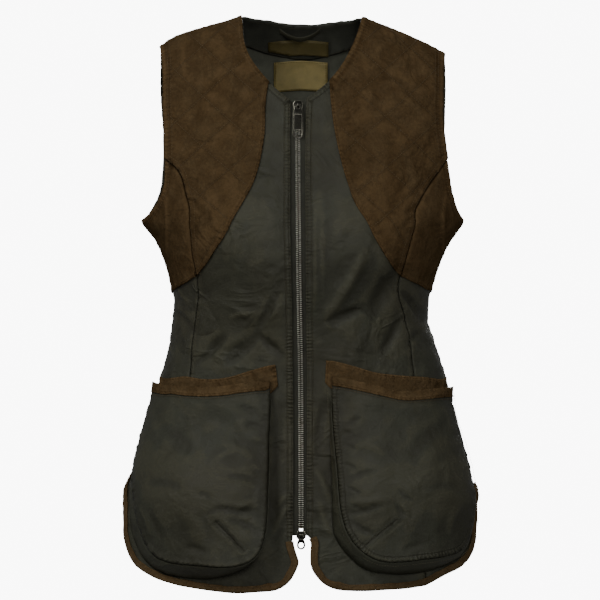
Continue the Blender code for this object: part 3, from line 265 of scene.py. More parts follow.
# Edges of the fronts: distance across from the middle, and up
NECKLINE = {
    "left": [(71, 19), (69.5, 4), (68, -11), (61, -30), (46, -51), (30, -68), (13, -82)],
    "right": [(71, 18), (68, 8), (60, -14), (47, -39), (33, -57), (19, -69), (5, -79)],
}
ARMHOLE_FRONT = {
    "left": [(167, -17.5), (163, -46), (162.5, -83), (161.5, -104), (160.5, -130), (160.5, -151)],
    "right": [(168, -25), (166, -59), (165, -94), (166, -119), (168, -136), (170, -151)],
}
ARMHOLE_SIDE = {
    "left": [(160.5, -151), (160.5, -165), (162, -185), (172, -206)],
    "right": [(170, -151), (173, -170), (176, -190), (181, -208)],
}
ARMHOLE_BACK = {
    "left": [(167, -17.5), (168.5, -46), (168, -83), (166, -120), (166, -155), (170, -188), (180, -210)],
    "right": [(168, -25), (171, -60), (170.5, -95), (170, -125), (172, -158), (176, -188), (184, -211)],
}
SHOULDER_SPAN = {"left": (71, 167), "right": (71, 168)}
PRINCESS_LOW = [(132, -408), (136, -458), (139, -517), (143, -576), (145, -652)]
PRINCESS = {
    "left": [
        (160.5, -151), (144, -166), (136, -190), (130, -219), (127.5, -257), (123, -286), (121.5, -311),
        (125, -339), (129, -370), *PRINCESS_LOW,
    ],
    "right": [
        (170, -151), (159, -167), (147, -184), (137, -201), (131, -215), (126, -245), (118, -277), (113, -299),
        (114.5, -316), (120, -335), (126, -358), (129, -384), *PRINCESS_LOW,
    ],
}
# The fronts' hem, from the zip's foot round to the princess seam, and on to the top of the side vent
HEM_FRONT = {
    "left": [
        (10, -596), (9.5, -603), (6, -615), (3.5, -624), (7, -634), (15, -647), (31, -657), (64, -660),
        (105, -658), (145, -652),
    ],
    "right": [
        (5, -594), (9.5, -598), (10.2, -605), (9.5, -614), (10.5, -629), (16.5, -640), (28, -651), (46, -657),
        (112, -656), (145, -652),
    ],
}
HEM_SIDE = {
    "left": [
        (145, -652), (172, -644), (192, -632.5), (204, -616), (209.5, -597), (210, -575), (210.5, -553),
        (208, -538),
    ],
    "right": [
        (145, -652), (168, -640), (188, -630), (200, -615), (204.5, -600), (205.5, -580), (206, -560),
        (205, -549),
    ],
}
VENT_TOP = {"left": -527.0, "right": -541.0}
ARMPIT = {"left": -221.0, "right": -222.0}
# The back: neck edge from left to right, and half of its hem from the vent inwards
NECK_BACK = [(-71, 19), (-57, 18.5), (-32, 15.3), (-2, 12.4), (33, 14.2), (57, 17), (71, 18)]
HEM_BACK_HALF = [(209, -548), (204, -566), (188, -579), (150, -586), (90, -590)]
HEM_BACK_MIDDLE = -591.0

# Lower edge of the suede patches, from the neckline round to the princess seam, and on to the side seam
PATCH_EDGE_FRONT = {
    "left": [
        (39, -59), (42.5, -83), (44.5, -127), (55, -176), (67, -202), (83, -232), (98, -256), (110, -273),
        (122.6, -288),
    ],
    "right": [
        (32, -58), (34, -83), (36.5, -106), (42.5, -139), (53, -180), (62, -207), (77, -231), (88, -253),
        (100, -271), (114, -287),
    ],
}
PATCH_EDGE_SIDE = {
    "left": [(122.6, -288), (131, -293), (143, -300), (152, -306)],
    "right": [(114, -287), (127, -294), (140, -300), (151, -305)],
}
PATCH_SIDE_DROP = 2.0

# Zip
ZIP_LINE = [(-70, -4.5), (-130, -5), (-260, -4), (-434, -1.5), (-620, -1)]
ZIP_TOP = -82.0
TAPE_FOOT = -592.5
CENTRE_UPS = (-130, -200, -280, -360, -440, -520)
ZIP_GAP = {"left": [(-70, 8.8), (-620, 8.6)], "right": [(-70, 9.3), (-300, 8.0), (-620, 6.0)]}
TAPE_REACH = 14.0
CHAIN_HALF = 3.0
CHAIN_OUT = 0.9
CHAIN_IN = -2.0
SLIDER_HALF = 5.6
# Half of a slider's outline, in shares of its half width and half length
SLIDER_SHAPE = [(0.61, 1.0), (1.0, 0.45), (0.94, -0.35), (0.72, -1.0)]
SLIDER_BACK = -0.8
SLIDER_FRONT = 3.0
# A slider's three plates: width and length as shares of the outline, low, high, and how far rounded
SLIDER_PLATES = (
    (1.0, 1.0, 1.6, SLIDER_FRONT, 0.5), (0.62, 0.9, 0.2, 1.9, 0.2), (0.98, 0.98, SLIDER_BACK, 0.4, 0.3),
)
UPPER_SLIDER_UP = -88.0
UPPER_LONG_HALF = 6.0
LOWER_SLIDER_UP = -592.0
LOWER_LONG_HALF = 5.0
BAIL_HALF_WIDTH = 1.0
BAIL_IN = 1.45
BAIL_OUT = 2.65
BAIL_ROOT = 1.0
HINGE_OUT = 1.9
TAB_THICK = 1.3
EYE_HALF = 1.7
BAR_HALF = 0.65
EYE_FOOT = 4.6
UPPER_LEAN = 1.5
LOWER_LEAN = 3.0
# Pull tabs: the right half of each outline from the crossbar down, then the hole, from the hinge axis
UPPER_TAB = [(2.6, 0.95), (3.5, 0.2), (4.4, -5), (5.8, -10), (6.1, -35.4), (5.2, -38.6), (2.6, -39.4)]
UPPER_WINDOW = [(-3.9, -30.2), (-3.9, -36.6), (3.9, -36.6), (3.9, -30.2)]
LOWER_TAB_NECK = [(2.6, 0.95), (3.3, 0.2), (3.3, -5.4), (4.6, -8.6)]
LOWER_RING_UP = -11.8
LOWER_RING_RADII = (5.0, 5.2)
LOWER_HOLE_RADII = (2.9, 3.1)
# Pockets: the rim of the bellows face and the foot of its gusset, round from the outer top corner.
# Columns: across, up and standoff of the rim, then across and up of the foot
POCKET_RIM = {
    "left": [
        (176, -415, 11, 169, -415), (179, -432, 11.5, 174, -432), (184, -450, 12, 178, -450),
        (192, -480, 13, 186, -480), (199, -508, 13, 194, -508), (203, -528, 12, 199, -530),
        (201, -555, 12, 201, -560), (195, -588, 15, 196, -598), (189, -605, 18, 186, -618),
        (179, -618, 22, 172, -631), (162, -625, 26, 157, -638), (132, -628, 30, 132, -642),
        (98, -630, 32, 104, -642), (73, -626, 32, 78, -632), (59, -617, 32, 62, -620), (51, -603, 31, 53, -601),
        (46, -579, 29, 49, -579), (44, -552, 25, 48, -552), (42, -514, 19, 46, -514), (41, -480, 14, 44, -480),
        (39, -446, 10, 41, -446), (38, -411, 4.7, 38, -411),
    ],
    "right": [
        (178, -421, 11, 172, -421), (179, -440, 11, 178, -440), (181, -455, 11.5, 182, -455),
        (189, -480, 13, 188, -480), (198, -514, 14, 194, -514), (206, -545, 14, 196, -545),
        (207, -562, 14, 195, -568), (204, -582, 14, 195, -590), (200, -598, 16, 189, -606),
        (192, -611, 19, 179, -619), (177, -617, 23, 164, -628), (150, -621, 27, 142, -635),
        (112, -624, 30, 105, -637), (90, -619.5, 30, 76, -632), (71, -606.5, 29, 58, -619),
        (58, -589, 28, 44, -602), (50, -565, 25, 37, -582), (45, -522, 19, 36, -530), (40, -480, 13, 35.5, -482),
        (37, -447, 9, 35, -447), (35.5, -406, 4.7, 35.5, -406),
    ],
}
# The mouth edge between the rim's ends, from the outer side inwards: across, up, standoff
POCKET_MOUTH = {
    "left": [(169, -417, 13.5), (158, -418, 15), (137, -419, 17), (99, -418, 18), (73, -414, 15), (57, -412, 11)],
    "right": [
        (171, -422, 13.5), (164, -422.5, 14.5), (155, -423, 16), (121, -424, 18.5), (103, -420, 18),
        (75, -413, 15), (57, -409, 11.5),
    ],
}
POCKET_CROWN = 10.0
GUSSET_START = 21.0
BELLOWS_TUCK = 2.5
BELLOWS_SHARE = 0.2
# The suede band on the body behind each mouth, clockwise from the outer top corner
POCKET_BAND_TOP = {
    "left": [(165, -407), (147, -408), (114, -409.5), (86, -407), (60, -399), (31, -392)],
    "right": [(168, -408), (144, -407.5), (113, -405), (84, -401), (61, -394), (28, -387)],
}
POCKET_BAND_FOOT = {
    "left": [(28, -417), (37, -426), (62, -429), (100, -434), (166, -432)],
    "right": [(27, -413), (35, -421), (62, -426), (110, -439), (170, -435)],
}

# Binding widths over the edge
HEM_LEG = 9.0
HEM_LEG_INSIDE = 7.0
HEM_INSET = TRIM_THICK + LAYER_GAP
MOUTH_LEG = 11.5

# Inside the neck
FACING_FOOT = [
    (-103, 20), (-97, 1), (-84, -6), (-66, -13), (-41, -21), (-22, -25), (0, -28), (22, -26), (45, -20),
    (66, -13), (84, -6), (97, 1), (103, 20),
]
UPPER_LABEL = [(-41, -6), (-41, -17.5), (-15, -22.5), (32, -23.5), (32, -6)]
LOWER_LABEL = [(-34, -31), (-34, -67), (31, -67), (31, -31)]
LOOP_ENDS = (-27, 22)
LOOP_UP = 8.5
LOOP_SAG = 6.0
LOOP_WIDE = 5.0
LOOP_BOW = 7.5
LOOP_FULLNESS = 0.7
LOOP_TWIST = 0.2


def smooth_table(rows):
    """A smooth function through (place, value) rows that never overshoots them."""
    rows = sorted(rows)
    place_at = np.array([row[0] for row in rows], float)
    value = np.array([row[1] for row in rows], float)
    span = np.diff(place_at)
    rise = np.diff(value) / span
    slope = np.zeros(len(place_at))
    slope[0], slope[-1] = rise[0], rise[-1]
    for i in range(1, len(place_at) - 1):
        if rise[i - 1] * rise[i] > 0:
            before, after = 2 * span[i] + span[i - 1], span[i] + 2 * span[i - 1]
            slope[i] = (before + after) / (before / rise[i - 1] + after / rise[i])

    def read(at):
        at = np.clip(np.asarray(at, float), place_at[0], place_at[-1])
        i = np.clip(np.searchsorted(place_at, at) - 1, 0, len(span) - 1)
        t = (at - place_at[i]) / span[i]
        low = (1 + 2 * t) * (1 - t) ** 2 * value[i] + t * (1 - t) ** 2 * span[i] * slope[i]
        high = t * t * (3 - 2 * t) * value[i + 1] + t * t * (t - 1) * span[i] * slope[i + 1]
        return low + high

    return read


def section_table(column):
    """One column of the section table as a smooth function of height."""
    at = SECTION_COLUMNS.index(column)
    return smooth_table([(row[0], row[at]) for row in SECTIONS])


SIGN = {"left": -1, "right": 1}
HALF_WIDTH = {"left": section_table("left_half"), "right": section_table("right_half")}
DEPTH = {"front": section_table("front_depth"), "back": section_table("back_depth")}
RIDGE_UP = {side: smooth_table(rows) for side, rows in RIDGE.items()}
ZIP_ACROSS = smooth_table(ZIP_LINE)
GAP_ACROSS = {side: smooth_table(rows) for side, rows in ZIP_GAP.items()}


# The body form

def section_point(angle):
    """Unit outline of a section at an angle from the front: share of the half width, share of the depth."""
    sine, cosine = np.sin(angle), np.cos(angle)
    size = (np.abs(sine) ** SECTION_POWER + np.abs(cosine) ** SECTION_POWER) ** (1 / SECTION_POWER)
    return sine / size, cosine / size


def by_side(across, tables, at):
    """Reads the left or the right table, whichever side a place is on."""
    return np.where(across < 0, tables["left"](at), tables["right"](at))


def ridge_up(share):
    """Height of the shoulder ridge at a share of the half width."""
    return by_side(share, RIDGE_UP, np.abs(share) * RIDGE_HALF)


def down_of(angle, up, half):
    """The length of cloth from the ridge down to a height."""
    share, _ = section_point(angle)
    turn = TURN[half]
    drop = np.maximum(ridge_up(share) - up, 0)
    bend = np.arccos(np.clip(1 - drop / turn, 0, 1))
    return np.where(drop < turn, turn * bend, drop - turn + turn * math.pi / 2)


def form(angle, down, half):
    """A point of the plain body form, without folds."""
    share, outward = section_point(angle)
    turn = TURN[half]
    bend = np.minimum(np.abs(down) / turn, math.pi / 2)
    past = np.maximum(np.abs(down) - turn * math.pi / 2, 0)
    up = ridge_up(share) - turn * (1 - np.cos(bend)) - past
    along = -DEPTH[half](up) * np.sign(down) * np.sin(bend) * outward
    return np.stack([share * by_side(share, HALF_WIDTH, up), along, up], axis=-1)


def relief(points):
    """Height of the bust and of the folds at points of the front."""
    across, up = points[..., 0], points[..., 2]
    height = np.zeros_like(across)
    for bust_across, bust_up, radius, most in BUST:
        away = np.hypot(across - bust_across, up - bust_up) / radius
        height += most * 0.5 * (1 + np.cos(math.pi * np.minimum(away, 1)))
    for x0, z0, x1, z1, half_width, most in FOLDS:
        t = ((across - x0) * (x1 - x0) + (up - z0) * (z1 - z0)) / ((x1 - x0) ** 2 + (z1 - z0) ** 2)
        t = np.clip(t, 0, 1)
        away = np.hypot(across - x0 - t * (x1 - x0), up - z0 - t * (z1 - z0)) / half_width
        taper = np.sin(math.pi * (FOLD_TAPER + (1 - 2 * FOLD_TAPER) * t))
        height += most * taper * 0.5 * (1 + np.cos(math.pi * np.minimum(away, 1)))
    return height


def angle_of(share, half):
    """The angle round the body, from the front, at a share of the half width."""
    outward = (1 - np.abs(share) ** SECTION_POWER) ** (1 / SECTION_POWER)
    if half == "front":
        return np.arctan2(share, outward)
    return np.mod(np.arctan2(share, -outward), 2 * math.pi)


def way_of(across, up, half, standoff=0.0):
    """The way (round, down) to a place seen from the front. One past the half width is on the side seam."""
    across, up = np.asarray(across, float), np.asarray(up, float)
    angle = angle_of(np.clip(across / (by_side(across, HALF_WIDTH, up) + standoff), -1, 1), half)
    return np.stack([angle * ROUND_UNIT, down_of(angle, up, half)], axis=-1)


# Edges and outlines, as lists of ways

def spline(points):
    """Many points of a smooth curve through a few."""
    points = np.asarray(points, float)
    padded = np.vstack([2 * points[0] - points[1], points, 2 * points[-1] - points[-2]])
    curve = []
    for four in zip(padded, padded[1:], padded[2:], padded[3:]):
        knots = np.cumsum([0] + [max(math.sqrt(math.dist(p, q)), 1e-6) for p, q in zip(four, four[1:])])
        for t in np.linspace(knots[1], knots[2], SPLINE_PARTS, endpoint=False):
            row = four
            for first, reach in ((0, 1), (0, 2), (1, 1)):
                row = [
                    p + (q - p) * (t - knots[i]) / (knots[i + reach] - knots[i])
                    for i, (p, q) in enumerate(zip(row, row[1:]), first)
                ]
            curve.append(row[0])
    return np.array(curve + [points[-1]])


def run_of(line):
    """How far along a line each of its points is."""
    return np.concatenate([[0], np.cumsum(np.linalg.norm(np.diff(line, axis=0), axis=1))])


def thin_out(curve):
    """Keeps a point of a curve after each step of length."""
    kept, run = [0], 0.0
    for i in range(1, len(curve) - 1):
        run += np.linalg.norm(curve[i, :2] - curve[i - 1, :2])
        if run >= EDGE_STEP:
            kept.append(i)
            run = 0.0
    if run < EDGE_STEP / 3 and len(kept) > 1:
        kept.pop()
    return curve[kept + [len(curve) - 1]]


def curve_of(rows, side, half):
    """A smooth curve of ways through table rows."""
    across, up = np.array([row[:2] for row in rows], float).T
    return spline(way_of(SIGN[side] * across, up, half))


def edge(rows, side, half="front"):
    """An edge of a piece, through its table rows."""
    return thin_out(curve_of(rows, side, half))


def edge_parts(rows, side, stop):
    """An edge of the front in two parts, before and after a point that it passes."""
    curve = curve_of(rows, side, "front")
    at = int(np.argmin(np.linalg.norm(curve - way_of(SIGN[side] * stop[0], stop[1], "front"), axis=1)))
    return thin_out(curve[:at + 1]), thin_out(curve[at:])


def side_seam(side, half, low, high):
    """The side seam between two heights, going up."""
    angle = SIGN[side] * math.pi / 2 + (2 * math.pi if half == "back" and side == "left" else 0)
    ups = np.linspace(low, high, max(2, round(abs(high - low) / EDGE_STEP) + 1))
    return np.stack([np.full(len(ups), angle * ROUND_UNIT), down_of(angle, ups, half)], axis=-1)


def shoulder_seam(side, half):
    """The shoulder seam, going outwards."""
    near, far = SHOULDER_SPAN[side]
    shares = SIGN[side] * np.linspace(near, far, round((far - near) / EDGE_STEP) + 1) / RIDGE_HALF
    return np.stack([angle_of(shares, half), np.zeros(len(shares))], axis=-1) * ROUND_UNIT


def inside(points, outline):
    """Which points lie inside an outline."""
    result = np.zeros(len(points), bool)
    for a, b in zip(outline, np.roll(outline, -1, axis=0)):
        if a[1] == b[1]:
            continue
        crosses = (points[:, 1] < a[1]) != (points[:, 1] < b[1])
        at = a[0] + (points[:, 1] - a[1]) * (b[0] - a[0]) / (b[1] - a[1])
        result ^= crosses & (points[:, 0] < at)
    return result


def nearest(points, line):
    """Distance of each point from a line of points, and how far along the line its nearest place is."""
    best = np.full(len(points), np.inf)
    along = np.zeros(len(points))
    start = 0.0
    for a, b in zip(line, line[1:]):
        step = b - a
        length = max(np.linalg.norm(step), 1e-9)
        t = np.clip((points - a) @ step / length ** 2, 0, 1)
        gap = np.linalg.norm(points - a - t[:, None] * step, axis=1)
        closer = gap < best
        best[closer], along[closer] = gap[closer], start + t[closer] * length
        start += length
    return best, along


def inset_of(points, outline):
    """Distance of points from a closed outline."""
    return nearest(points, np.vstack([outline, outline[:1]]))[0]


# Fine surfaces

def surface(way, half):
    """Points of the cloth's plain form at ways, the outward directions there, and the solids' own relief."""
    way = np.asarray(way, float)
    angle, down = way[..., 0] / ROUND_UNIT, way[..., 1]
    base = form(angle, down, half)
    round_step = form(angle + NORMAL_TURN, down, half) - form(angle - NORMAL_TURN, down, half)
    down_step = form(angle, down + NORMAL_DROP, half) - form(angle, down - NORMAL_DROP, half)
    normal = np.cross(down_step, round_step)
    normal /= np.linalg.norm(normal, axis=-1, keepdims=True)
    lift = relief(base) if half == "front" else np.zeros(base.shape[:-1])
    return base, normal, lift


def place(way, half, out=0.0):
    """Points of the solids' cloth at ways, so far out of the middle of its wall."""
    base, normal, lift = surface(way, half)
    return base + normal * (lift + out)[..., None]


def inward_ways(path, turn_left):
    """Unit ways at right angles to a path, to its left or its right."""
    ahead = np.diff(path[:, :2], axis=0)
    ahead /= np.linalg.norm(ahead, axis=1, keepdims=True)
    ahead = np.vstack([ahead[:1], ahead[:-1] + ahead[1:], ahead[-1:]])
    aside = np.stack([-ahead[:, 1], ahead[:, 0]], axis=-1) * (1 if turn_left else -1)
    return aside / np.linalg.norm(aside, axis=-1, keepdims=True)


def step_in(path, aside, reach, half):
    """Ways so many millimetres of cloth to one side of a path."""
    real = np.linalg.norm(place(path + aside, half) - place(path, half), axis=-1, keepdims=True)
    return path + aside * reach / np.maximum(real, LEAST_REAL)


def outline_of(edges, half):
    """Joins edges, each with how far the piece stays inside it, into one closed outline of ways."""
    points = np.vstack([curve[:-1, :2] for curve, _, _ in edges])
    near = np.concatenate([np.full(len(curve) - 1, inset, float) for curve, inset, _ in edges])[:, None]
    far = np.roll(near, 1, axis=0)
    following = np.roll(points, -1, axis=0)
    ahead = following - points
    area = np.sum(points[:, 0] * following[:, 1] - points[:, 1] * following[:, 0])
    two = np.stack([-ahead[:, 1], ahead[:, 0]], axis=-1) * np.sign(area)
    two /= np.linalg.norm(two, axis=-1, keepdims=True)
    one = np.roll(two, 1, axis=0)
    cross = (one[:, 0] * two[:, 1] - one[:, 1] * two[:, 0])[:, None]
    straight = np.abs(cross) < MITRE_LEAST
    mitre = ((two * far - one * near) @ np.array([[0, -1], [1, 0]])) / np.where(straight, 1, cross)
    moved = np.where(straight, (one * far + two * near) / 2, mitre)
    wanted = np.linalg.norm(moved, axis=1, keepdims=True)
    return step_in(points, moved / np.maximum(wanted, 1e-9), wanted, half)


def waves(along, seed, shortest, longest, parts=5):
    """A smooth uneven wave along a line, about -1 to 1."""
    draw = np.random.default_rng(seed)
    total = np.zeros_like(along)
    for _ in range(parts):
        total += np.sin(2 * math.pi * along / draw.uniform(shortest, longest) + draw.uniform(0, 2 * math.pi))
    return total / math.sqrt(parts)


def crumple(base, size, seed):
    """Soft random unevenness of worn cloth at points in millimetres, about -1 to 1."""
    shift = Vector((seed * 7.3, seed * 3.1, seed * 5.7))
    heights = [
        0.6 * noise.noise(Vector(p) / size + shift) + 0.4 * noise.noise(Vector(p) / (size * 0.45) - shift)
        for p in base
    ]
    return np.array(heights) * 1.6


def hump(away, at, reach):
    """A smooth rise, 1 at one distance from an edge and nil well beside it."""
    return np.exp(-((away - at) / reach) ** 2)


def bowed_line(x0, z0, x1, z1, bow):
    """Places across and up along a line that bows to one side."""
    t = np.linspace(0, 1, CREASE_PARTS)
    aside = bow / math.hypot(x1 - x0, z1 - z0) * np.sin(math.pi * t)
    return x0 + t * (x1 - x0) - aside * (z1 - z0), z0 + t * (z1 - z0) + aside * (x1 - x0)


def crease(points, line, half_width, most):
    """Height of one crease at points, less towards its ends."""
    away, along = nearest(points, line)
    taper = np.sin(math.pi * (CREASE_END + (1 - 2 * CREASE_END) * along / run_of(line)[-1]))
    return CREASE_GAIN * most * taper * np.exp(-(away / half_width * CREASE_SHARP) ** 2)


def cloth_height(base, lift, half, kind):
    """Height of a cloth over the plain form: relief, the listed creases, and crumple."""
    height = np.zeros(len(base))
    for *ends, half_width, most in CREASES[half]:
        way = way_of(*bowed_line(*ends), half)
        line = form(way[:, 0] / ROUND_UNIT, way[:, 1], half)
        low, high = line.min(axis=0) - half_width * 2, line.max(axis=0) + half_width * 2
        near = np.all((base > low) & (base < high), axis=1)
        if near.any():
            height[near] += crease(base[near], line, half_width, most)
    much, size = CRUMPLE[kind]
    return lift + height + much * crumple(base, size, 1)


def lattice_in(outline, step, extra=None):
    """Points inside an outline about a step apart, with extra ones in place of those beside them."""
    low, high = outline.min(axis=0), outline.max(axis=0)
    rows = np.arange(low[1] + step / 2, high[1], step * math.sqrt(3) / 2)
    columns = np.arange(low[0], high[0], step)
    lattice = np.array([(x + i % 2 * step / 2, y) for i, y in enumerate(rows) for x in columns])
    if extra is not None:
        cells = {(round(x / step), round(y / step)) for x, y in extra}
        free = [(round(x / step), round(y / step)) not in cells for x, y in lattice]
        lattice = np.vstack([lattice[np.array(free)], extra])
    lattice = lattice[inside(lattice, outline)]
    return lattice[inset_of(lattice, outline) > step * 0.4]


def triangulate(outline, points, chains=()):
    """A mesh of triangles in an outline through points. Gives its ways, its triangles and each way's sources."""
    everything = [Vector(p) for p in np.vstack([outline, points])]
    flat, _, triangles, sources, _, _ = delaunay_2d_cdt(
        everything, list(chains), [list(range(len(outline)))], 1, 1e-5)
    return np.array([tuple(p) for p in flat]), np.array([tuple(t) for t in triangles]), sources


def rim_loops(triangles):
    """The border edges of a mesh of triangles, each from one point to the next."""
    ends = dict.fromkeys(pair for a, b, c in triangles for pair in ((a, b), (b, c), (c, a)))
    return [(a, b) for a, b in ends if (b, a) not in ends]


def finish_heights(flat, half, edges, kind):
    """Heights of a piece over the plain form, with what its seams and edges do, and the marks they leave."""
    base, normal, lift = surface(flat, half)
    edge_away, edge_run = np.full(len(base), FAR_EDGE), np.zeros(len(base))
    height = cloth_height(base, lift, half, kind)
    for number, (curve, _, finish) in enumerate(edges):
        if finish is None or len(curve) < 2:
            continue
        away, along = nearest(base, surface(curve[:, :2], half)[0])
        dip, reach, pucker, roll, drawn = EDGE_FINISH[finish]
        closer = (away * drawn < edge_away) & (finish != "under")
        edge_away[closer], edge_run[closer] = away[closer] * drawn, along[closer]
        height += pucker * waves(along, seed=11 + number, shortest=6, longest=15) * np.exp(-away / PUCKER_REACH)
        height += roll * hump(away, ROLL_AT, ROLL_REACH) - dip * hump(away, at=0, reach=reach)
    return base, normal, height, {"edge": edge_away, "run": edge_run}


def edges_of(triangles, count):
    """The pairs of points that a mesh joins, and how many each point has."""
    pairs = np.vstack([triangles[:, [0, 1]], triangles[:, [1, 2]], triangles[:, [2, 0]]])
    return pairs, np.maximum(np.bincount(pairs.ravel(), minlength=count), 1)


def averaged(field, pairs, near):
    """A field with each point's value taken from its neighbours."""
    total = np.bincount(pairs[:, 0], field[pairs[:, 1]], len(field))
    total += np.bincount(pairs[:, 1], field[pairs[:, 0]], len(field))
    return total / near


def wear_and_shade_marks(height, triangles):
    """How far each point stands over its surroundings, where cloth rubs pale, or under them, where the finishes
    paint shade.
    """
    pairs, near = edges_of(triangles, len(height))
    smooth = height.copy()
    for _ in range(WEAR_AND_SHADE_ROUNDS):
        smooth = averaged(smooth, pairs, near)
    return np.clip((height - smooth) * WEAR_AND_SHADE_GAIN, -1, 1)


def material(name):
    """A finish made by the materials operator."""
    return bpy.data.materials["vest_" + name]


def linked(name, data):
    """An object of the scene that shows a mesh, a light or a camera."""
    item = bpy.data.objects.new(name, data)
    bpy.context.scene.collection.objects.link(item)
    return item


def add_piece(name, points, faces, finish, ways=None, marks=None):
    """A smooth mesh object at the origin, from points in millimetres. Its UV map is laid out on the cloth."""
    mesh = bpy.data.meshes.new(name)
    mesh.from_pydata(np.asarray(points, float) * MM, [], [tuple(int(i) for i in f) for f in faces])
    if ways is not None:
        layer = mesh.uv_layers.new(name="cloth")
        corners = np.zeros(len(mesh.loops), int)
        mesh.loops.foreach_get("vertex_index", corners)
        layer.data.foreach_set("uv", (np.asarray(ways, float)[corners] * MM * 10).ravel())
    for key, rest in (("wear_and_shade", 0.0), ("edge", FAR_EDGE), ("run", 0.0)):
        values = np.full(len(points), rest) if marks is None or key not in marks else marks[key]
        mesh.attributes.new(key, "FLOAT", "POINT").data.foreach_set("value", np.asarray(values, float))
    mesh.shade_smooth()
    mesh.materials.append(material(finish))
    return linked(name, mesh)


def outward(item):
    """Turns a piece's faces outwards."""
    work = bmesh.new()
    work.from_mesh(item.data)
    bmesh.ops.recalc_face_normals(work, faces=work.faces)
    work.to_mesh(item.data)
    work.free()


def shell(name, flat, triangles, base, normal, low, high, finish, marks):
    """A cloth piece with both skins and a round rim."""
    count = len(flat)
    rim = rim_loops(triangles)
    outer, inner = base + normal * high[:, None], base + normal * low[:, None]
    ends = sorted({i for pair in rim for i in pair})
    at = {i: k for k, i in enumerate(ends)}
    aside = np.zeros((len(ends), 3))
    for a, b in rim:
        out_of = np.cross(outer[b] - outer[a], normal[a])
        out_of /= max(np.linalg.norm(out_of), 1e-9)
        aside[[at[a], at[b]]] += out_of
    aside /= np.maximum(np.linalg.norm(aside, axis=1, keepdims=True), 1e-9)
    middle = (outer[ends] + inner[ends]) / 2 + aside * (high - low)[ends][:, None] * RIM_SHARE
    faces = [tuple(t) for t in triangles] + [tuple(i + count for i in reversed(t)) for t in triangles]
    for a, b in rim:
        m, n = 2 * count + at[a], 2 * count + at[b]
        faces += [(b, a, m, n), (n, m, a + count, b + count)]
    # Raised cloth gets wear, and sunken cloth gets painted shade, in the finishes
    marks = {**marks, "wear_and_shade": wear_and_shade_marks(high, triangles)}
    marks = {key: np.concatenate([values, values, values[ends]]) for key, values in marks.items()}
    ways = np.vstack([flat, flat, flat[ends]])
    item = add_piece(name, np.vstack([outer, inner, middle]), faces, finish, ways, marks)
    outward(item)
    a, b, c = (base[triangles[:, k]] for k in range(3))
    item["area"] = float(np.linalg.norm(np.cross(b - a, c - a), axis=1).sum() / 2 * MM * MM)
    return item


def tube_piece(name, rings, finish, ways=None):
    """A closed piece through rings of points."""
    count, around = len(rings), len(rings[0])
    faces = [
        (i * around + j, i * around + (j + 1) % around, (i + 1) * around + (j + 1) % around, (i + 1) * around + j)
        for i in range(count - 1) for j in range(around)
    ]
    faces += [tuple(range(around)), tuple((count - 1) * around + j for j in reversed(range(around)))]
    if ways is None:
        ways = [(3.0 * i, j) for i in range(count) for j in range(around)]
    item = add_piece(name, np.reshape(rings, (-1, 3)), faces, finish, ways)
    outward(item)
    return item


# The cloth pieces

LINES = {"suede_thread": [], "trim_thread": [], "cotton_thread": [], "label_thread": []}


def adopt(item, node, body):
    """Puts a finished piece under its body, and hides the solid that it stands for."""
    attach(item, body)
    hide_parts(node)


def keep_cut(item, flat, half):
    """Stores the rectangle of flat cloth that a piece is cut from. A slanting strip is cut along its length."""
    low, high = flat.min(axis=0), flat.max(axis=0)
    widths = []
    for down in np.linspace(low[1], high[1], 41)[1:-1]:
        row = flat[np.abs(flat[:, 1] - down) < 4.0]
        if len(row) > 1:
            rounds = np.linspace(row[:, 0].min(), row[:, 0].max(), 60)
            widths.append(run_of(form(rounds / ROUND_UNIT, np.full(60, down), half))[-1])
    middle = np.full(80, (low[0] + high[0]) / 2) / ROUND_UNIT
    width = max(widths) * MM
    length = run_of(form(middle, np.linspace(low[1], high[1], 80), half))[-1] * MM
    if item["area"] < STRIP_SHARE * width * length:
        length = math.hypot(width, length)
        width = item["area"] / length
    grow = CUT_MARGIN * max(1.0, math.sqrt(item["area"] / (width * length)))
    item["cut"] = [float(width * grow), float(length * grow)]


def stated_cut(item, width, length, area):
    """Stores the cut of a strip and its area, given in millimetres."""
    item["cut"] = [float(width * MM), float(length * MM)]
    item["area"] = float(area * MM * MM)


def line_on(curve, half, out, kind="cotton"):
    """A stitch line in millimetres over a curve of ways, with its outward directions."""
    base, normal, lift = surface(curve[:, :2], half)
    return base + normal * (cloth_height(base, lift, half, kind) + out)[:, None], normal


def even(curve, step):
    """A curve of ways with points an even way length apart."""
    curve = np.asarray(curve, float)[:, :2]
    run = run_of(curve)
    keep = np.concatenate([[True], np.diff(run) > 1e-6])
    curve, run = curve[keep], run[keep]
    at = np.linspace(0, run[-1], max(2, round(run[-1] / step) + 1))
    return np.stack([np.interp(at, run, curve[:, k]) for k in (0, 1)], axis=-1)


def stitch_beside(group, curve, turn_left, reach, half, out, kind="cotton", trim=0):
    """Adds a stitch line so far inside an edge."""
    path = even(curve, STITCH_STEP)
    if trim:
        path = path[trim:-trim]
    LINES[group].append(line_on(step_in(path, inward_ways(path, turn_left), reach, half), half, out, kind))


def quilt_lines(side):
    """The quilting's stitch lines over one side, as curves of ways, before they are cut to the patches."""
    angles = np.linspace(0, math.pi / 2, 200)
    share, outward = section_point(angles)
    section = np.stack([share * HALF_WIDTH["right"](GIRTH_UP), outward * DEPTH["front"](GIRTH_UP)], axis=-1)
    girth = run_of(section)
    across = np.arange(0, girth[-1], 1.5)
    angle = SIGN[side] * np.interp(across, girth, angles)
    ridge = ridge_up(section_point(angle)[0])
    lines = []
    for slope, crossings in ((-QUILT_SLOPE, QUILT_FALLING[side]), (QUILT_SLOPE, QUILT_RISING[side])):
        for cross in crossings:
            up = cross + slope * SIGN[side] * across
            keep = up < ridge - 0.5
            if keep.sum() > 3:
                ways = angle[keep] * ROUND_UNIT, down_of(angle[keep], up[keep], "front")
                lines.append(np.stack(ways, axis=-1))
    return lines


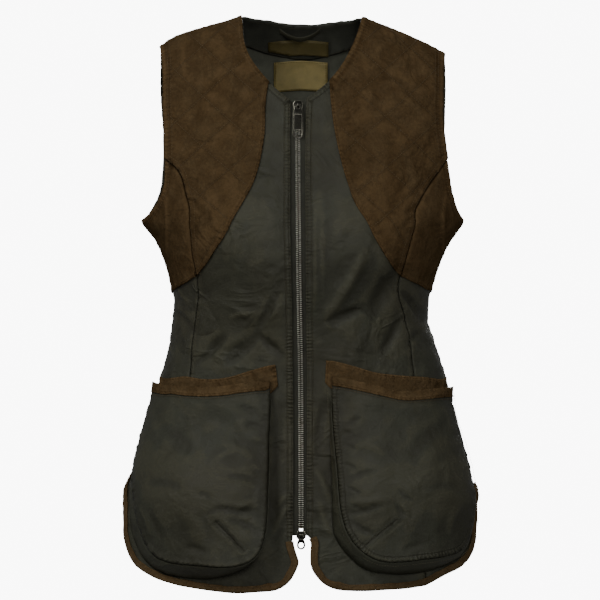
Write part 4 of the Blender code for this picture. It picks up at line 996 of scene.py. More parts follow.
def quilt_runs(side, border):
    """The stretches of the quilting's lines that lie inside a patch, clear of its edges."""
    runs = []
    for ways in quilt_lines(side):
        inner = inside(ways, border)
        inner[inner] = inset_of(ways[inner], border) > QUILT_CLEAR
        ends = np.flatnonzero(np.diff(np.concatenate([[0], inner, [0]])))
        runs += [ways[first:last] for first, last in zip(ends[::2], ends[1::2]) if last - first > 6]
    return runs


def quilt_height(base, runs, half):
    """Grooves along the quilting's stitch lines, with the suede a little padded between them."""
    reach, depth, pad, pad_reach = QUILT_GROOVE
    away = np.full(len(base), 60.0)
    for run in runs:
        line = surface(even(run, 6.0), half)[0]
        near = np.all((base > line.min(axis=0) - 9) & (base < line.max(axis=0) + 9), axis=1)
        if near.any():
            away[near] = np.minimum(away[near], nearest(base[near], line)[0])
    return pad * (1 - np.exp(-away / pad_reach)) - depth * hump(away, at=0, reach=reach)


def cloth_piece(name, node, edges, half, wall, kind, finish, runs=()):
    """A whole cloth piece: laid out, shaped, given its wall, and its flat cut stored."""
    extra = np.vstack([even(run, 3.0) for run in runs]) if runs else None
    outline = outline_of(edges, half)
    flat, triangles, _ = triangulate(outline, lattice_in(outline, FINE_STEP, extra))
    base, normal, height, marks = finish_heights(flat, half, edges, kind)
    if runs:
        height = height + quilt_height(base, runs, half)
    item = shell(name, flat, triangles, base, normal, height + wall[0], height + wall[1], finish, marks)
    keep_cut(item, flat, half)
    adopt(item, node, "vest")
    return item


def line_inside(item, finish):
    """Gives the inner side of a cloth piece another cloth."""
    item.data.materials.append(material(finish))
    for face in item.data.polygons:
        middle = face.center
        if face.normal.dot((middle.x, middle.y, 0.0)) < 0 and abs(face.normal.z) < 0.8:
            face.material_index = 1


def centre_edge(side):
    """Front edge beside the zip, going down."""
    ups = [NECKLINE[side][-1][1], *CENTRE_UPS, HEM_FRONT[side][0][1]]
    rows = [(SIGN[side] * float(ZIP_ACROSS(up)) + float(GAP_ACROSS[side](up)), up) for up in ups]
    rows[0], rows[-1] = NECKLINE[side][-1], HEM_FRONT[side][0]
    return edge(rows, side)


def front_edges(side):
    """Every edge of one front and its side panel, by name."""
    patch, side_patch = PATCH_EDGE_FRONT[side], PATCH_EDGE_SIDE[side]
    side_low = side_patch[-1][1] - PATCH_SIDE_DROP
    edges = {
        "shoulder": shoulder_seam(side, "front"),
        "centre": centre_edge(side),
        "armhole": edge(ARMHOLE_FRONT[side], side),
        "underarm": edge(ARMHOLE_SIDE[side] + [(PAST_SIDE, ARMPIT[side])], side),
        "hem": edge(HEM_FRONT[side], side),
        "side_hem": edge(HEM_SIDE[side] + [(PAST_SIDE, VENT_TOP[side])], side),
        "seam_low": side_seam(side, "front", VENT_TOP[side], side_low),
        "seam_high": side_seam(side, "front", side_low, ARMPIT[side]),
        "patch": edge(patch, side),
        "side_patch": edge(side_patch + [(PAST_SIDE, side_low)], side),
    }
    edges["neck_high"], edges["neck_low"] = edge_parts(NECKLINE[side], side, patch[0])
    edges["princess_high"], edges["princess_low"] = edge_parts(PRINCESS[side], side, patch[-1])
    corner = edges["princess_high"][-1]
    edges["patch"][0], edges["patch"][-1] = edges["neck_high"][-1], corner
    edges["side_patch"][0], edges["side_patch"][-1] = corner, edges["seam_high"][0]
    return edges


def make_fronts(side):
    """One front and its side panel."""
    e = front_edges(side)
    seam = SEAM_GAP / 2
    cloth_piece(
        "front_cloth_" + side, "front_" + side,
        [(e["neck_high"], 0, "turned"), (e["neck_low"], 0, "turned"), (e["centre"], 0, "turned"),
         (e["hem"], HEM_INSET, None), (e["princess_low"][::-1], seam, "flat"),
         (e["princess_high"][::-1], seam, "under"), (e["armhole"][::-1], 0, "under"),
         (e["shoulder"][::-1], JOIN, "seam")],
        "front", OUTER_WALL, "cotton", "waxed_cotton",
    )
    cloth_piece(
        "side_cloth_" + side, "side_" + side,
        [(e["princess_high"], seam, "under"), (e["princess_low"], seam, "flat"), (e["side_hem"], HEM_INSET, None),
         (e["seam_low"], JOIN, "seam"), (e["seam_high"], JOIN, "seam"), (e["underarm"][::-1], 0, "turned")],
        "front", OUTER_WALL, "cotton", "waxed_cotton",
    )
    left = side == "left"
    for name, turn, reach, trim in (
        ("princess_low", not left, 1.6, 0), ("princess_low", not left, 6.6, 0),
        ("centre", left, 2.0, 2), ("centre", left, 7.0, 2), ("neck_low", left, 4.5, 1),
    ):
        stitch_beside("cotton_thread", e[name], turn, reach, "front", ON_CLOTH, trim=trim)


def make_patches(side):
    """The quilted suede on one front and on its side panel."""
    e = front_edges(side)
    left = side == "left"
    seam = SEAM_GAP / 2 + 0.1
    low, high = LAYER_IN - 0.2, LAYER_IN + SUEDE_THICK - 0.3
    ring = [
        (e["neck_high"], 0, "turned" if left else "banded"), (e["patch"], 0, "turned"),
        (e["princess_high"][::-1], seam, "flat"), (e["armhole"][::-1], ARMHOLE_INSET, "banded"),
        (e["shoulder"][::-1], JOIN, "seam"),
    ]
    runs = quilt_runs(side, np.vstack([curve[:, :2] for curve, _, _ in ring]))
    cloth_piece(
        "suede_front_" + side, "patch_front_" + side, ring, "front", (low, high), "cotton", "suede", runs)
    for run in runs:
        LINES["suede_thread"].append(line_on(even(run, STITCH_STEP), "front", high - QUILT_GROOVE[1] + 0.28))
    cloth_piece(
        "suede_side_" + side, "patch_side_" + side,
        [(e["princess_high"], seam, "flat"), (e["side_patch"], 0, "turned"), (e["seam_high"], JOIN, "seam"),
         (e["underarm"][::-1], 0, "banded")],
        "front", (low, high), "cotton", "suede",
    )
    for name, turn, reach in (
        ("patch", left, 2.6), ("armhole", not left, 7.0), ("armhole", not left, 11.0), ("neck_high", left, 4.6),
        ("princess_high", not left, 1.8), ("princess_high", not left, 6.8), ("side_patch", left, 2.6),
        ("underarm", not left, 7.0),
    ):
        stitch_beside("suede_thread", e[name], turn, reach, "front", high + 0.05, trim=1)


def back_edges():
    """Every edge of the back and of its facing, by name."""
    edges = {"neck": edge(NECK_BACK, "right", "back")}
    hem_half = [(PAST_SIDE, VENT_TOP["right"])] + HEM_BACK_HALF + [(0, HEM_BACK_MIDDLE)]
    other_half = [(-across, up) for across, up in reversed(HEM_BACK_HALF)] + [(-PAST_SIDE, VENT_TOP["left"])]
    edges["hem"] = edge(hem_half + other_half, "right", "back")
    for side in SIGN:
        edges["shoulder_" + side] = shoulder_seam(side, "back")
        edges["armhole_" + side] = edge(ARMHOLE_BACK[side] + [(PAST_SIDE, ARMPIT[side])], side, "back")
        edges["seam_" + side] = side_seam(side, "back", VENT_TOP[side], ARMPIT[side])
    edges["facing_foot"] = edge(FACING_FOOT, "right", "back")
    return edges


def make_back():
    """The whole back."""
    e = back_edges()
    back = cloth_piece(
        "back_cloth", "back",
        [(e["neck"], 0, "turned"), (e["shoulder_right"], JOIN, "seam"), (e["armhole_right"], 0, "turned"),
         (e["seam_right"][::-1], JOIN, "seam"), (e["hem"], HEM_INSET, None), (e["seam_left"], JOIN, "seam"),
         (e["armhole_left"][::-1], 0, "turned"), (e["shoulder_left"][::-1], JOIN, "seam")],
        "back", OUTER_WALL, "back", "waxed_cotton",
    )
    # The inside gets a lighter copy of the facing twill, painted light where the inside lies in shade
    line_inside(back, "lining_cloth_painted_light")
    lines = []
    for side, turn in (("right", False), ("left", True)):
        lines += [("armhole_" + side, turn, 2.2, 1), ("armhole_" + side, turn, 7.5, 1)]
        lines += [("seam_" + side, not turn, 2.2, 4), ("shoulder_" + side, turn, 2.2, 1)]
    for name, turn, reach, trim in (*lines, ("neck", False, 3.0, 1)):
        stitch_beside("cotton_thread", e[name], turn, reach, "back", ON_CLOTH, "back", trim)


def make_neck():
    """The facing and the labels inside the back of the neck."""
    e = back_edges()
    foot = e["facing_foot"].copy()
    cuts = {}
    for side, end in (("left", 0), ("right", -1)):
        shoulder = e["shoulder_" + side]
        cuts[side] = shoulder[:int(np.argmin(np.linalg.norm(shoulder - foot[end], axis=1))) + 1]
        foot[end] = cuts[side][-1]
    high = -LAYER_IN + 0.2
    inner = high - TRIM_THICK + 0.05
    cloth_piece(
        "facing_cloth_neck", "neck_facing",
        [(e["neck"], 0.3, "turned"), (cuts["right"], 0.5, None), (foot[::-1], 0, None),
         (cuts["left"][::-1], 0.5, None)],
        "back", (high - TRIM_THICK + 0.1, high), "flat", "facing_cloth",
    )
    stitch_beside("cotton_thread", foot[::-1], False, 2.0, "back", inner, "flat", trim=2)
    stitch_beside("cotton_thread", e["neck"], False, 4.5, "back", inner, "flat", trim=2)
    for name, node, rows, under, finish in (
        ("label_dark_cloth", "label_upper", UPPER_LABEL, LAYER_IN + TRIM_THICK, "label_dark"),
        ("label_gold_cloth", "label_lower", LOWER_LABEL, PANEL_OUT, "label_gold"),
    ):
        high = -(under + LABEL_GAP)
        sides = [(edge(pair, "right", "back"), 0, None) for pair in zip(rows, rows[1:] + rows[:1])]
        cloth_piece(name, node, sides, "back", (high - LABEL_THICK + 0.2, high), "flat", finish)
        ring = np.vstack([curve[:-1, :2] for curve, _, _ in sides])
        ring = np.vstack([ring, ring[:1]])
        middle = (ring.min(axis=0) + ring.max(axis=0)) / 2
        inset = middle + (ring - middle) * LABEL_STITCH_SHARE
        points, normal = line_on(even(inset, STITCH_STEP), "back", high - LABEL_THICK + 0.15, "flat")
        LINES["label_thread"].append((points, -normal))


def make_loop():
    """The hanger loop, a narrow folded strip that bows away from the facing."""
    half = LOOP_WIDE / 2
    section = [(-half, 0.25), (-half + 0.3, 0), (0, -0.05), (half - 0.3, 0), (half, 0.25), (half, 1.05),
               (half - 0.3, 1.3), (0, 1.35), (-half + 0.3, 1.3), (-half, 1.05)]
    rings = []
    for t in np.linspace(0, 1, 41):
        across = LOOP_ENDS[0] + t * (LOOP_ENDS[1] - LOOP_ENDS[0])
        up = LOOP_UP - LOOP_SAG * math.sin(math.pi * t)
        near = LAYER_IN + TRIM_THICK + LAYER_GAP + LOOP_BOW * math.sin(math.pi * t) ** LOOP_FULLNESS
        twist = LOOP_TWIST * math.sin(3 * math.pi * t)
        ring = []
        for reach, out in section:
            base, normal, _ = surface(way_of(across, up + reach, "back"), "back")
            ring.append(base - normal * (near + out + twist * reach / half))
        rings.append(ring)
    item = tube_piece("hanger_loop_strip", rings, "waxed_cotton")
    adopt(item, "hanger_loop", "vest")


def make_binding(name, node, path, half, turn_left, kind):
    """A suede strip folded over the hem, a leg on each face."""
    path = even(path, 3.0)
    aside = inward_ways(path, turn_left)[1:-1]
    path = path[1:-1]
    low, high = PANEL_OUT + BINDING_GAP - 0.9, PANEL_OUT + BINDING_GAP + TRIM_THICK - 0.2
    section = [
        (HEM_LEG, low), (HEM_LEG + 0.3, (low + high) / 2), (HEM_LEG, high), (HEM_LEG - 1.2, high + 0.15),
        (HEM_LEG - 3.0, high - 0.5), (HEM_LEG * 0.45, high + 0.25), (TRIM_THICK + 1, high + 0.1),
        (0.5, high * 0.6), (0, 0), (0.5, -high * 0.6), (TRIM_THICK + 1, -high),
        (HEM_LEG_INSIDE * 0.6, -high - 0.1), (HEM_LEG_INSIDE, -high), (HEM_LEG_INSIDE + 0.3, -(low + high) / 2),
        (HEM_LEG_INSIDE, -low), (TRIM_THICK + 0.6, -low), (TRIM_THICK + 0.2, 0), (TRIM_THICK + 0.6, low),
    ]
    run = run_of(form(path[:, 0] / ROUND_UNIT, path[:, 1], half))
    sway = 0.5 * waves(run, seed=5, shortest=18, longest=60)
    bulge = 0.22 * waves(run, seed=6, shortest=7, longest=16)
    columns = []
    for reach, out in section:
        base, normal, lift = surface(step_in(path, aside, (reach + sway * reach / HEM_LEG)[:, None], half), half)
        puff = bulge * math.copysign(1, out) if abs(out) > 1 else 0
        columns.append(base + normal * (cloth_height(base, lift, half, kind) + out + puff)[:, None])
    item = tube_piece(name, np.stack(columns, axis=1), "suede_trim")
    wide = 2 * HEM_LEG + 2 * high
    stated_cut(item, run[-1], wide, run[-1] * wide)
    adopt(item, node, "vest")
    LINES["trim_thread"].append(line_on(step_in(path, aside, HEM_LEG - 2.8, half), half, high - 0.35, kind))


def make_hems():
    """The three hem bindings."""
    for side in SIGN:
        e = front_edges(side)
        path = np.vstack([e["hem"][:-1], e["side_hem"]])
        make_binding("hem_suede_" + side, "hem_binding_" + side, path, "front", side == "left", "cotton")
    make_binding("hem_suede_back", "hem_binding_back", back_edges()["hem"], "back", False, "back")


# The bellows pockets

def rim_path(side):
    """The pocket rim as rows of face way, standoff and foot way, with a row at each end of the trim."""
    across, up, standoff, foot_across, foot_up = np.array(POCKET_RIM[side], float).T
    across, foot_across = across * SIGN[side], foot_across * SIGN[side]
    limit = by_side(across, HALF_WIDTH, foot_up) * FOOT_LIMIT
    foot = way_of(np.clip(foot_across, -limit, limit), foot_up, "front")
    curve = spline(np.hstack([way_of(across, up, "front", standoff), standoff[:, None], foot]))
    run = run_of(curve[:, :2])
    first, last = np.searchsorted(run, (MOUTH_LEG, run[-1] - MOUTH_LEG))
    return np.vstack([curve[:1], thin_out(curve[first:last + 1]), curve[-1:]])


def relaxed(count, triangles, fixed, values):
    """Heights over a mesh that are even between fixed ones, and a swell that is nil at the fixed ones."""
    pairs, near = edges_of(triangles, count)
    heights, swell = np.full(count, values.mean()), np.zeros(count)
    heights[fixed] = values
    for _ in range(RELAX_ROUNDS):
        heights, swell = averaged(heights, pairs, near), averaged(swell, pairs, near) + 1.0
        heights[fixed], swell[fixed] = values, 0.0
    return heights, swell / swell.max()


def pocket_shape(side):
    """The pocket face's mesh: ways, triangles, heights of its outer skin, rim rows, mouth and trim foot."""
    rim = rim_path(side)
    across, up, standoff = np.array(POCKET_MOUTH[side], float).T
    mouth_way = way_of(across * SIGN[side], up, "front", standoff)
    mouth = thin_out(spline(np.vstack([rim[:1, :3], np.column_stack([mouth_way, standoff]), rim[-1:, :3]])))
    outline = np.vstack([rim[:-1, :3], mouth[:0:-1]])
    foot_line = np.vstack([rim[1, :2], mouth[1:-1, :2] + np.array([0, MOUTH_LEG]), rim[-2, :2]])
    flat, triangles, sources = face_mesh(outline[:, :2], foot_line, dart_way(side))
    on_rim = {i: min(source) for i, source in enumerate(sources) if source and min(source) < len(outline)}
    heights, swell = relaxed(len(flat), triangles, list(on_rim), outline[list(on_rim.values()), 2])
    belly, middle, reach = POCKET_BELLY
    swell *= POCKET_CROWN + belly * hump(surface(flat, "front")[0][:, 2], middle, reach)
    return flat, triangles, heights + swell, rim, mouth, foot_line


def dart_way(side):
    """The dart in a pocket's lower corner, as ways."""
    (x0, z0), (x1, z1) = DART[side]
    t = np.linspace(0, 1, 20)
    return way_of(x0 + t * (x1 - x0), z0 + t * (z1 - z0), "front", DART_STANDOFF)


def face_mesh(outline, line, dart):
    """A pocket face's mesh, with triangle edges along a line across it and points on its dart."""
    lattice = lattice_in(outline, POCKET_STEP)
    lattice = lattice[nearest(lattice, line)[0] > POCKET_STEP * 0.4]
    lattice = np.vstack([lattice[nearest(lattice, dart)[0] > POCKET_STEP * 0.6], dart])
    first, last = (int(np.argmin(np.linalg.norm(outline - end, axis=1))) for end in (line[0], line[-1]))
    start = len(outline) + len(lattice)
    chain = [first, *range(start, start + len(line) - 2), last]
    return triangulate(outline, np.vstack([lattice, line[1:-1]]), zip(chain, chain[1:]))


def pocket_folds(side, points):
    """Height of a pocket face's own dents, darts and puckers."""
    height = np.zeros(len(points))
    for *ends, half_width, most in POCKET_CREASES[side]:
        height += crease(points[:, [0, 2]], np.stack(bowed_line(*ends), axis=-1), half_width, most)
    return height


def make_pocket(side):
    """A bellows pocket: face, suede trim on its mouth, gusset, and the band behind its mouth."""
    flat, triangles, heights, rim, mouth, foot_line = pocket_shape(side)
    base, normal, lift = surface(flat, "front")
    height = lift + heights + pocket_folds(side, place(flat, "front", heights))
    much, size = CRUMPLE["pocket"]
    height += much * crumple(base, size, 3)
    away, along = nearest(base, surface(rim[:, :2], "front")[0])
    pucker = 0.6 * waves(along, seed=31, shortest=7, longest=17) * np.exp(-away / 9.0)
    height += 0.8 * hump(away, at=1.6, reach=1.9) + pucker
    off = nearest(flat, dart_way(side))[0]
    height += DART_RIDGE * hump(off, at=3.0, reach=1.6) - DART_DEPTH * hump(off, at=0, reach=1.3)
    item = shell(
        "pocket_cloth_" + side, flat, triangles, base, normal, height - POCKET_WALL, height, "pocket_cotton",
        {"edge": np.minimum(away if side == "right" else away + UNSTITCHED, off + DART_MARK), "run": along},
    )
    keep_cut(item, flat, "front")
    adopt(item, "pocket_face_" + side, "vest")

    chosen = triangles[inside(flat[triangles].mean(axis=1), np.vstack([mouth[:, :2], foot_line[::-1]]))]
    used, chosen = np.unique(chosen, return_inverse=True)
    trim_away, trim_along = nearest(base[used], surface(mouth[:, :2], "front")[0])
    foot_away, foot_along = nearest(base[used], surface(foot_line, "front")[0])
    puff = 0.35 * waves(trim_along, seed=41, shortest=9, longest=24) * np.exp(-trim_away / 6)
    puff += 0.5 * hump(trim_away, at=0, reach=2.6)
    top = height[used] + LAYER_GAP + 0.75 + puff - 0.25 * hump(foot_away, at=2.6, reach=1.2)
    item = shell(
        "pocket_trim_suede_" + side, flat[used], chosen.reshape(-1, 3), base[used], normal[used],
        top - TRIM_WALL, top, "suede_trim", {"edge": foot_away, "run": foot_along},
    )
    keep_cut(item, flat[used], "front")
    adopt(item, "pocket_trim_" + side, "vest")

    make_gusset(side, rim)
    make_pocket_band(side)
    pocket_stitches(side, flat, height, rim, foot_line)


def height_at(ways, flat, height):
    """Heights at ways, read from the nearest points of a mesh."""
    result = []
    for way in ways:
        gap = np.linalg.norm(flat - way, axis=1)
        near = np.argpartition(gap, 4)[:4]
        weight = 1 / np.maximum(gap[near], 0.05) ** 2
        result.append((height[near] * weight).sum() / weight.sum())
    return np.array(result)


def pocket_stitches(side, flat, height, rim, foot_line):
    """Stitch lines round a pocket face and along its trim."""
    left = side == "left"
    lines = [
        ("trim_thread", foot_line, left, 2.4, LAYER_GAP + 0.62),
        ("cotton_thread", dart_way(side)[:-1], not left, 1.5, 0.15),
    ]
    if not left:
        lines.append(("cotton_thread", rim[2:-2, :2], left, 5.4, 0.1))
    for group, path, turn, reach, out in lines:
        path = even(path, STITCH_STEP)
        ways = step_in(path, inward_ways(path, turn), reach, "front")
        base, normal, _ = surface(ways, "front")
        LINES[group].append((base + normal * (height_at(ways, flat, height) + out)[:, None], normal))


def make_gusset(side, rim):
    """The bellows between a pocket face and the front."""
    run = run_of(rim[:, :2])
    part = rim[(run > GUSSET_START) & (run < run[-1] - GUSSET_START)]
    face_way, under, foot_way = part[:, :2], part[:, 2] - FACE_THICK - SEAT_GAP, part[:, 3:]
    into_face, into_foot = (inward_ways(way, side == "left") for way in (face_way, foot_way))
    top_out, top_in = (
        place(step_in(face_way, into_face, reach, "front"), "front", under)
        for reach in (SEAT_GAP, SEAT_GAP + GUSSET_THICK)
    )
    foot_out, foot_in = (
        place(step_in(foot_way, into_foot, reach, "front"), "front", PANEL_OUT + FOOT_GAP)
        for reach in (0.0, GUSSET_THICK)
    )
    tall = np.linalg.norm(top_out - foot_out, axis=1, keepdims=True)
    inward = (top_in - top_out) / GUSSET_THICK
    tuck = inward * np.minimum(BELLOWS_TUCK, tall * BELLOWS_SHARE)
    along = run_of(top_out)
    pucker = 0.5 * waves(along, seed=51, shortest=9, longest=26)[:, None] * inward
    outer, inner = [], []
    for share in np.linspace(0, 1, 9):
        drift = tuck * np.sin(math.pi * share) ** 1.5 + pucker * np.sin(2 * math.pi * share)
        outer.append(top_out * (1 - share) + foot_out * share + drift)
        inner.append(top_in * (1 - share) + foot_in * share + drift)
    item = tube_piece("pocket_bellows_" + side, np.stack(outer + inner[::-1], axis=1), "waxed_cotton")
    stated_cut(item, along[-1], tall.max() * 1.1, along[-1] * tall.mean() * 1.02)
    adopt(item, "pocket_gusset_" + side, "vest")


def make_pocket_band(side):
    """The suede band on the front behind a pocket's mouth."""
    top, foot = POCKET_BAND_TOP[side], POCKET_BAND_FOOT[side]
    high = LAYER_IN + TRIM_THICK - 0.1
    edges = [
        (edge(top, side), 0, "turned"), (edge([top[-1], foot[0]], side), 0, "turned"),
        (edge(foot, side), 0, None), (edge([foot[-1], top[0]], side), 0, "turned"),
    ]
    cloth_piece(
        "pocket_band_suede_" + side, "pocket_band_" + side, edges, "front", (LAYER_IN - 0.1, high), "cotton",
        "suede_trim",
    )
    stitch_beside("trim_thread", edges[0][0], side == "left", 2.4, "front", high + 0.1, trim=1)


# The zip

def zip_way(across, ups):
    """Ways at distances beside the middle of the zip."""
    return way_of(ZIP_ACROSS(ups) + across, ups, "front")


def make_tapes():
    """The woven tapes on both sides of the teeth."""
    ups = np.linspace(ZIP_TOP, TAPE_FOOT, 170)
    low, high = -LAYER_IN - TAPE_THICK + 0.2, -LAYER_IN
    for side, sign in SIGN.items():
        near, far = (CHAIN_HALF + SEAT_GAP - 1.2) * sign, TAPE_REACH * sign
        across = np.linspace(near, far, 6)
        section = [(near, high + 0.5), *((x, high) for x in across[1:]), *((x, low) for x in across[::-1])]
        rings = np.stack([place(zip_way(x, ups), "front", out) for x, out in section], axis=1)
        threads = [*np.linspace(0, 11, 6), *np.linspace(11, 0, 6)]
        ways = [(up, thread) for up in ups for thread in threads]
        item = tube_piece("zip_tape_cloth_" + side, rings, "zip_tape", ways)
        wide, length = abs(far - near), (ZIP_TOP - TAPE_FOOT) * 1.02
        stated_cut(item, wide * 1.02, length, wide * length)
        adopt(item, "zip_tape_" + side, "vest")


def zip_frame(up):
    """A frame on the zip: X to the right, Y up along the cloth and Z out of it, in metres."""
    (base,), (normal,), (lift,) = surface(zip_way(0.0, np.array([up])), "front")
    out = normal * (0, 1, 1)
    out /= np.linalg.norm(out)
    right = np.array([1.0, 0.0, 0.0])
    result = Matrix(np.column_stack([right, np.cross(out, right), out])).to_4x4()
    result.translation = Vector(base + normal * lift) * MM
    return result


def arc(y, radius_x, radius_y, start, end, parts):
    """Points of an oval arc on the middle line, angles in degrees."""
    angles = np.radians(np.linspace(start, end, parts))
    return [(radius_x * math.cos(a), y + radius_y * math.sin(a)) for a in angles]


def plate(loops, low, high, placing, bevel):
    """A metal plate with holes and rounded edges: loops of (x, y), the outside first, from low to high."""
    points, constraints = [], []
    for loop in loops:
        start = len(points)
        points += [Vector(p) for p in loop]
        constraints += [(start + i, start + (i + 1) % len(loop)) for i in range(len(loop))]
    flat, _, triangles, _, _, _ = delaunay_2d_cdt(points, constraints, [], 0, 1e-5)
    flat = np.array([tuple(p) for p in flat])
    middles = np.array([flat[list(t)].mean(axis=0) for t in triangles])
    kept = inside(middles, np.array(loops[0]))
    for hole in loops[1:]:
        kept &= ~inside(middles, np.array(hole))
    triangles = [tuple(t) for t, keep in zip(triangles, kept) if keep]
    count = len(flat)
    solid = np.vstack([np.column_stack([flat, np.full(count, level)]) for level in (low, high)])
    edges = {(a, b) for t in triangles for a, b in zip(t, t[1:] + t[:1])}
    faces = [tuple(reversed(t)) for t in triangles] + [tuple(i + count for i in t) for t in triangles]
    faces += [(a, b, b + count, a + count) for a, b in edges if (b, a) not in edges]
    item = add_piece("plate", solid, faces, "dark_metal")
    work = bmesh.new()
    work.from_mesh(item.data)
    bmesh.ops.dissolve_limit(work, angle_limit=0.02, verts=work.verts, edges=work.edges)
    sharp = [e for e in work.edges if len(e.link_faces) == 2 and e.calc_face_angle(0) > 0.9]
    rounded = bmesh.ops.bevel(work, geom=sharp, offset=bevel * MM, segments=2, profile=0.6, affect="EDGES")
    # The rounded edges, which the metal finish makes brighter: rubbed metal and a painted highlight
    bright_edge = work.loops.layers.float.new("bright_edge")
    for corner in (corner for face in rounded["faces"] for corner in face.loops):
        corner[bright_edge] = 1.0
    bmesh.ops.triangulate(work, faces=[f for f in work.faces if len(f.verts) > 4])
    bmesh.ops.recalc_face_normals(work, faces=work.faces)
    work.to_mesh(item.data)
    work.free()
    item.data.transform(placing)
    item.data.shade_smooth()
    item.data.set_sharp_from_angle(angle=SHARP)
    return item


def object_of(work, name):
    """An object from a worked mesh, which is freed."""
    mesh = bpy.data.meshes.new(name)
    work.to_mesh(mesh)
    work.free()
    return linked(name, mesh)


def join_pieces(items, name):
    """One piece from several."""
    work = bmesh.new()
    for item in items:
        work.from_mesh(item.data)
    joined = object_of(work, name)
    joined.data.materials.append(items[0].data.materials[0])
    for item in items:
        bpy.data.objects.remove(item)
    joined.data.set_sharp_from_angle(angle=SHARP)
    return joined


def make_slider(name, node, up, long_half, turn):
    """A slider with the bail that its tab hangs from."""
    placing = zip_frame(up)
    half = spline([(x * SLIDER_HALF, y * long_half * turn) for x, y in SLIDER_SHAPE])[::3]
    outline = [(x, y) for x, y in half] + [(-x, y) for x, y in half[::-1]]
    parts = [
        plate([[(x * wide, y * tall) for x, y in outline]], low, high, placing, bevel)
        for wide, tall, low, high, bevel in SLIDER_PLATES
    ]
    hinge, root = SLIDER_FRONT + HINGE_OUT, SLIDER_FRONT - BAIL_ROOT
    loop = [(BAIL_OUT, root), *arc(hinge, BAIL_OUT, BAIL_OUT, 0, 180, 17), (-BAIL_OUT, root)]
    loop += [(-BAIL_IN, root), *arc(hinge, BAIL_IN, BAIL_IN, 180, 0, 17), (BAIL_IN, root)]
    standing = placing @ Matrix(((0, 0, 1, 0), (1, 0, 0, 0), (0, 1, 0, 0), (0, 0, 0, 1)))
    parts.append(plate([loop], -BAIL_HALF_WIDTH, BAIL_HALF_WIDTH, standing, 0.3))
    adopt(join_pieces(parts, name), node, "vest")


def make_tab(name, node, up, outline, window, lean, body, ridge):
    """A pull tab whose crossbar lies in the slider's bail, with a raised border when ridge is set."""
    placing = zip_frame(up) @ Matrix.Translation((0, 0, (SLIDER_FRONT + HINGE_OUT) * MM))
    placing = placing @ Matrix.Rotation(math.radians(lean), 4, "X")
    eye = [(-EYE_HALF, -BAR_HALF), (-EYE_HALF, -EYE_FOOT), (EYE_HALF, -EYE_FOOT), (EYE_HALF, -BAR_HALF)]
    whole = outline + [(-x, y) for x, y in reversed(outline) if x > 0]
    parts = [plate([whole, eye, window], -TAB_THICK / 2, TAB_THICK / 2 - 0.25, placing, 0.18)]
    if ridge:
        border = [p for p in whole if p[1] < -7]
        low, high = min(y for _, y in border) + TAB_BORDER, max(y for _, y in border) - TAB_BORDER
        inner = [(x - math.copysign(TAB_BORDER, x), min(max(y, low), high)) for x, y in border]
        parts.append(plate([border, inner], 0, TAB_THICK / 2, placing, 0.2))
    adopt(join_pieces(parts, name), node, body)


def make_sliders():
    """Both sliders and their pull tabs."""
    make_slider("slider_top_metal", "slider_upper", UPPER_SLIDER_UP, UPPER_LONG_HALF, 1)
    make_slider("slider_low_metal", "slider_lower", LOWER_SLIDER_UP, LOWER_LONG_HALF, -1)
    make_tab(
        "tab_top_metal", "pull_tab_upper", UPPER_SLIDER_UP, UPPER_TAB, UPPER_WINDOW, UPPER_LEAN, "upper_tab",
        True,
    )
    lower = LOWER_TAB_NECK + arc(LOWER_RING_UP, *LOWER_RING_RADII, 10, -80, 12)
    hole = arc(LOWER_RING_UP, *LOWER_HOLE_RADII, 0, 345, 24)
    make_tab("tab_low_metal", "pull_tab_lower", LOWER_SLIDER_UP, lower, hole, LOWER_LEAN, "lower_tab", False)


# Repeats made with Geometry Nodes: stitches and zip teeth

class Nodes:
    """Adds nodes to the node tree that a class of it holds."""

    def node(self, kind, inputs=None, **settings):
        """Adds a node. Each input is a socket to link, or a value to set."""
        made = self.tree.nodes.new(kind)
        for key, value in settings.items():
            setattr(made, key, value)
        for key, value in (inputs or {}).items():
            if isinstance(value, bpy.types.NodeSocket):
                self.tree.links.new(value, made.inputs[key])
            else:
                made.inputs[key].default_value = value
        return made


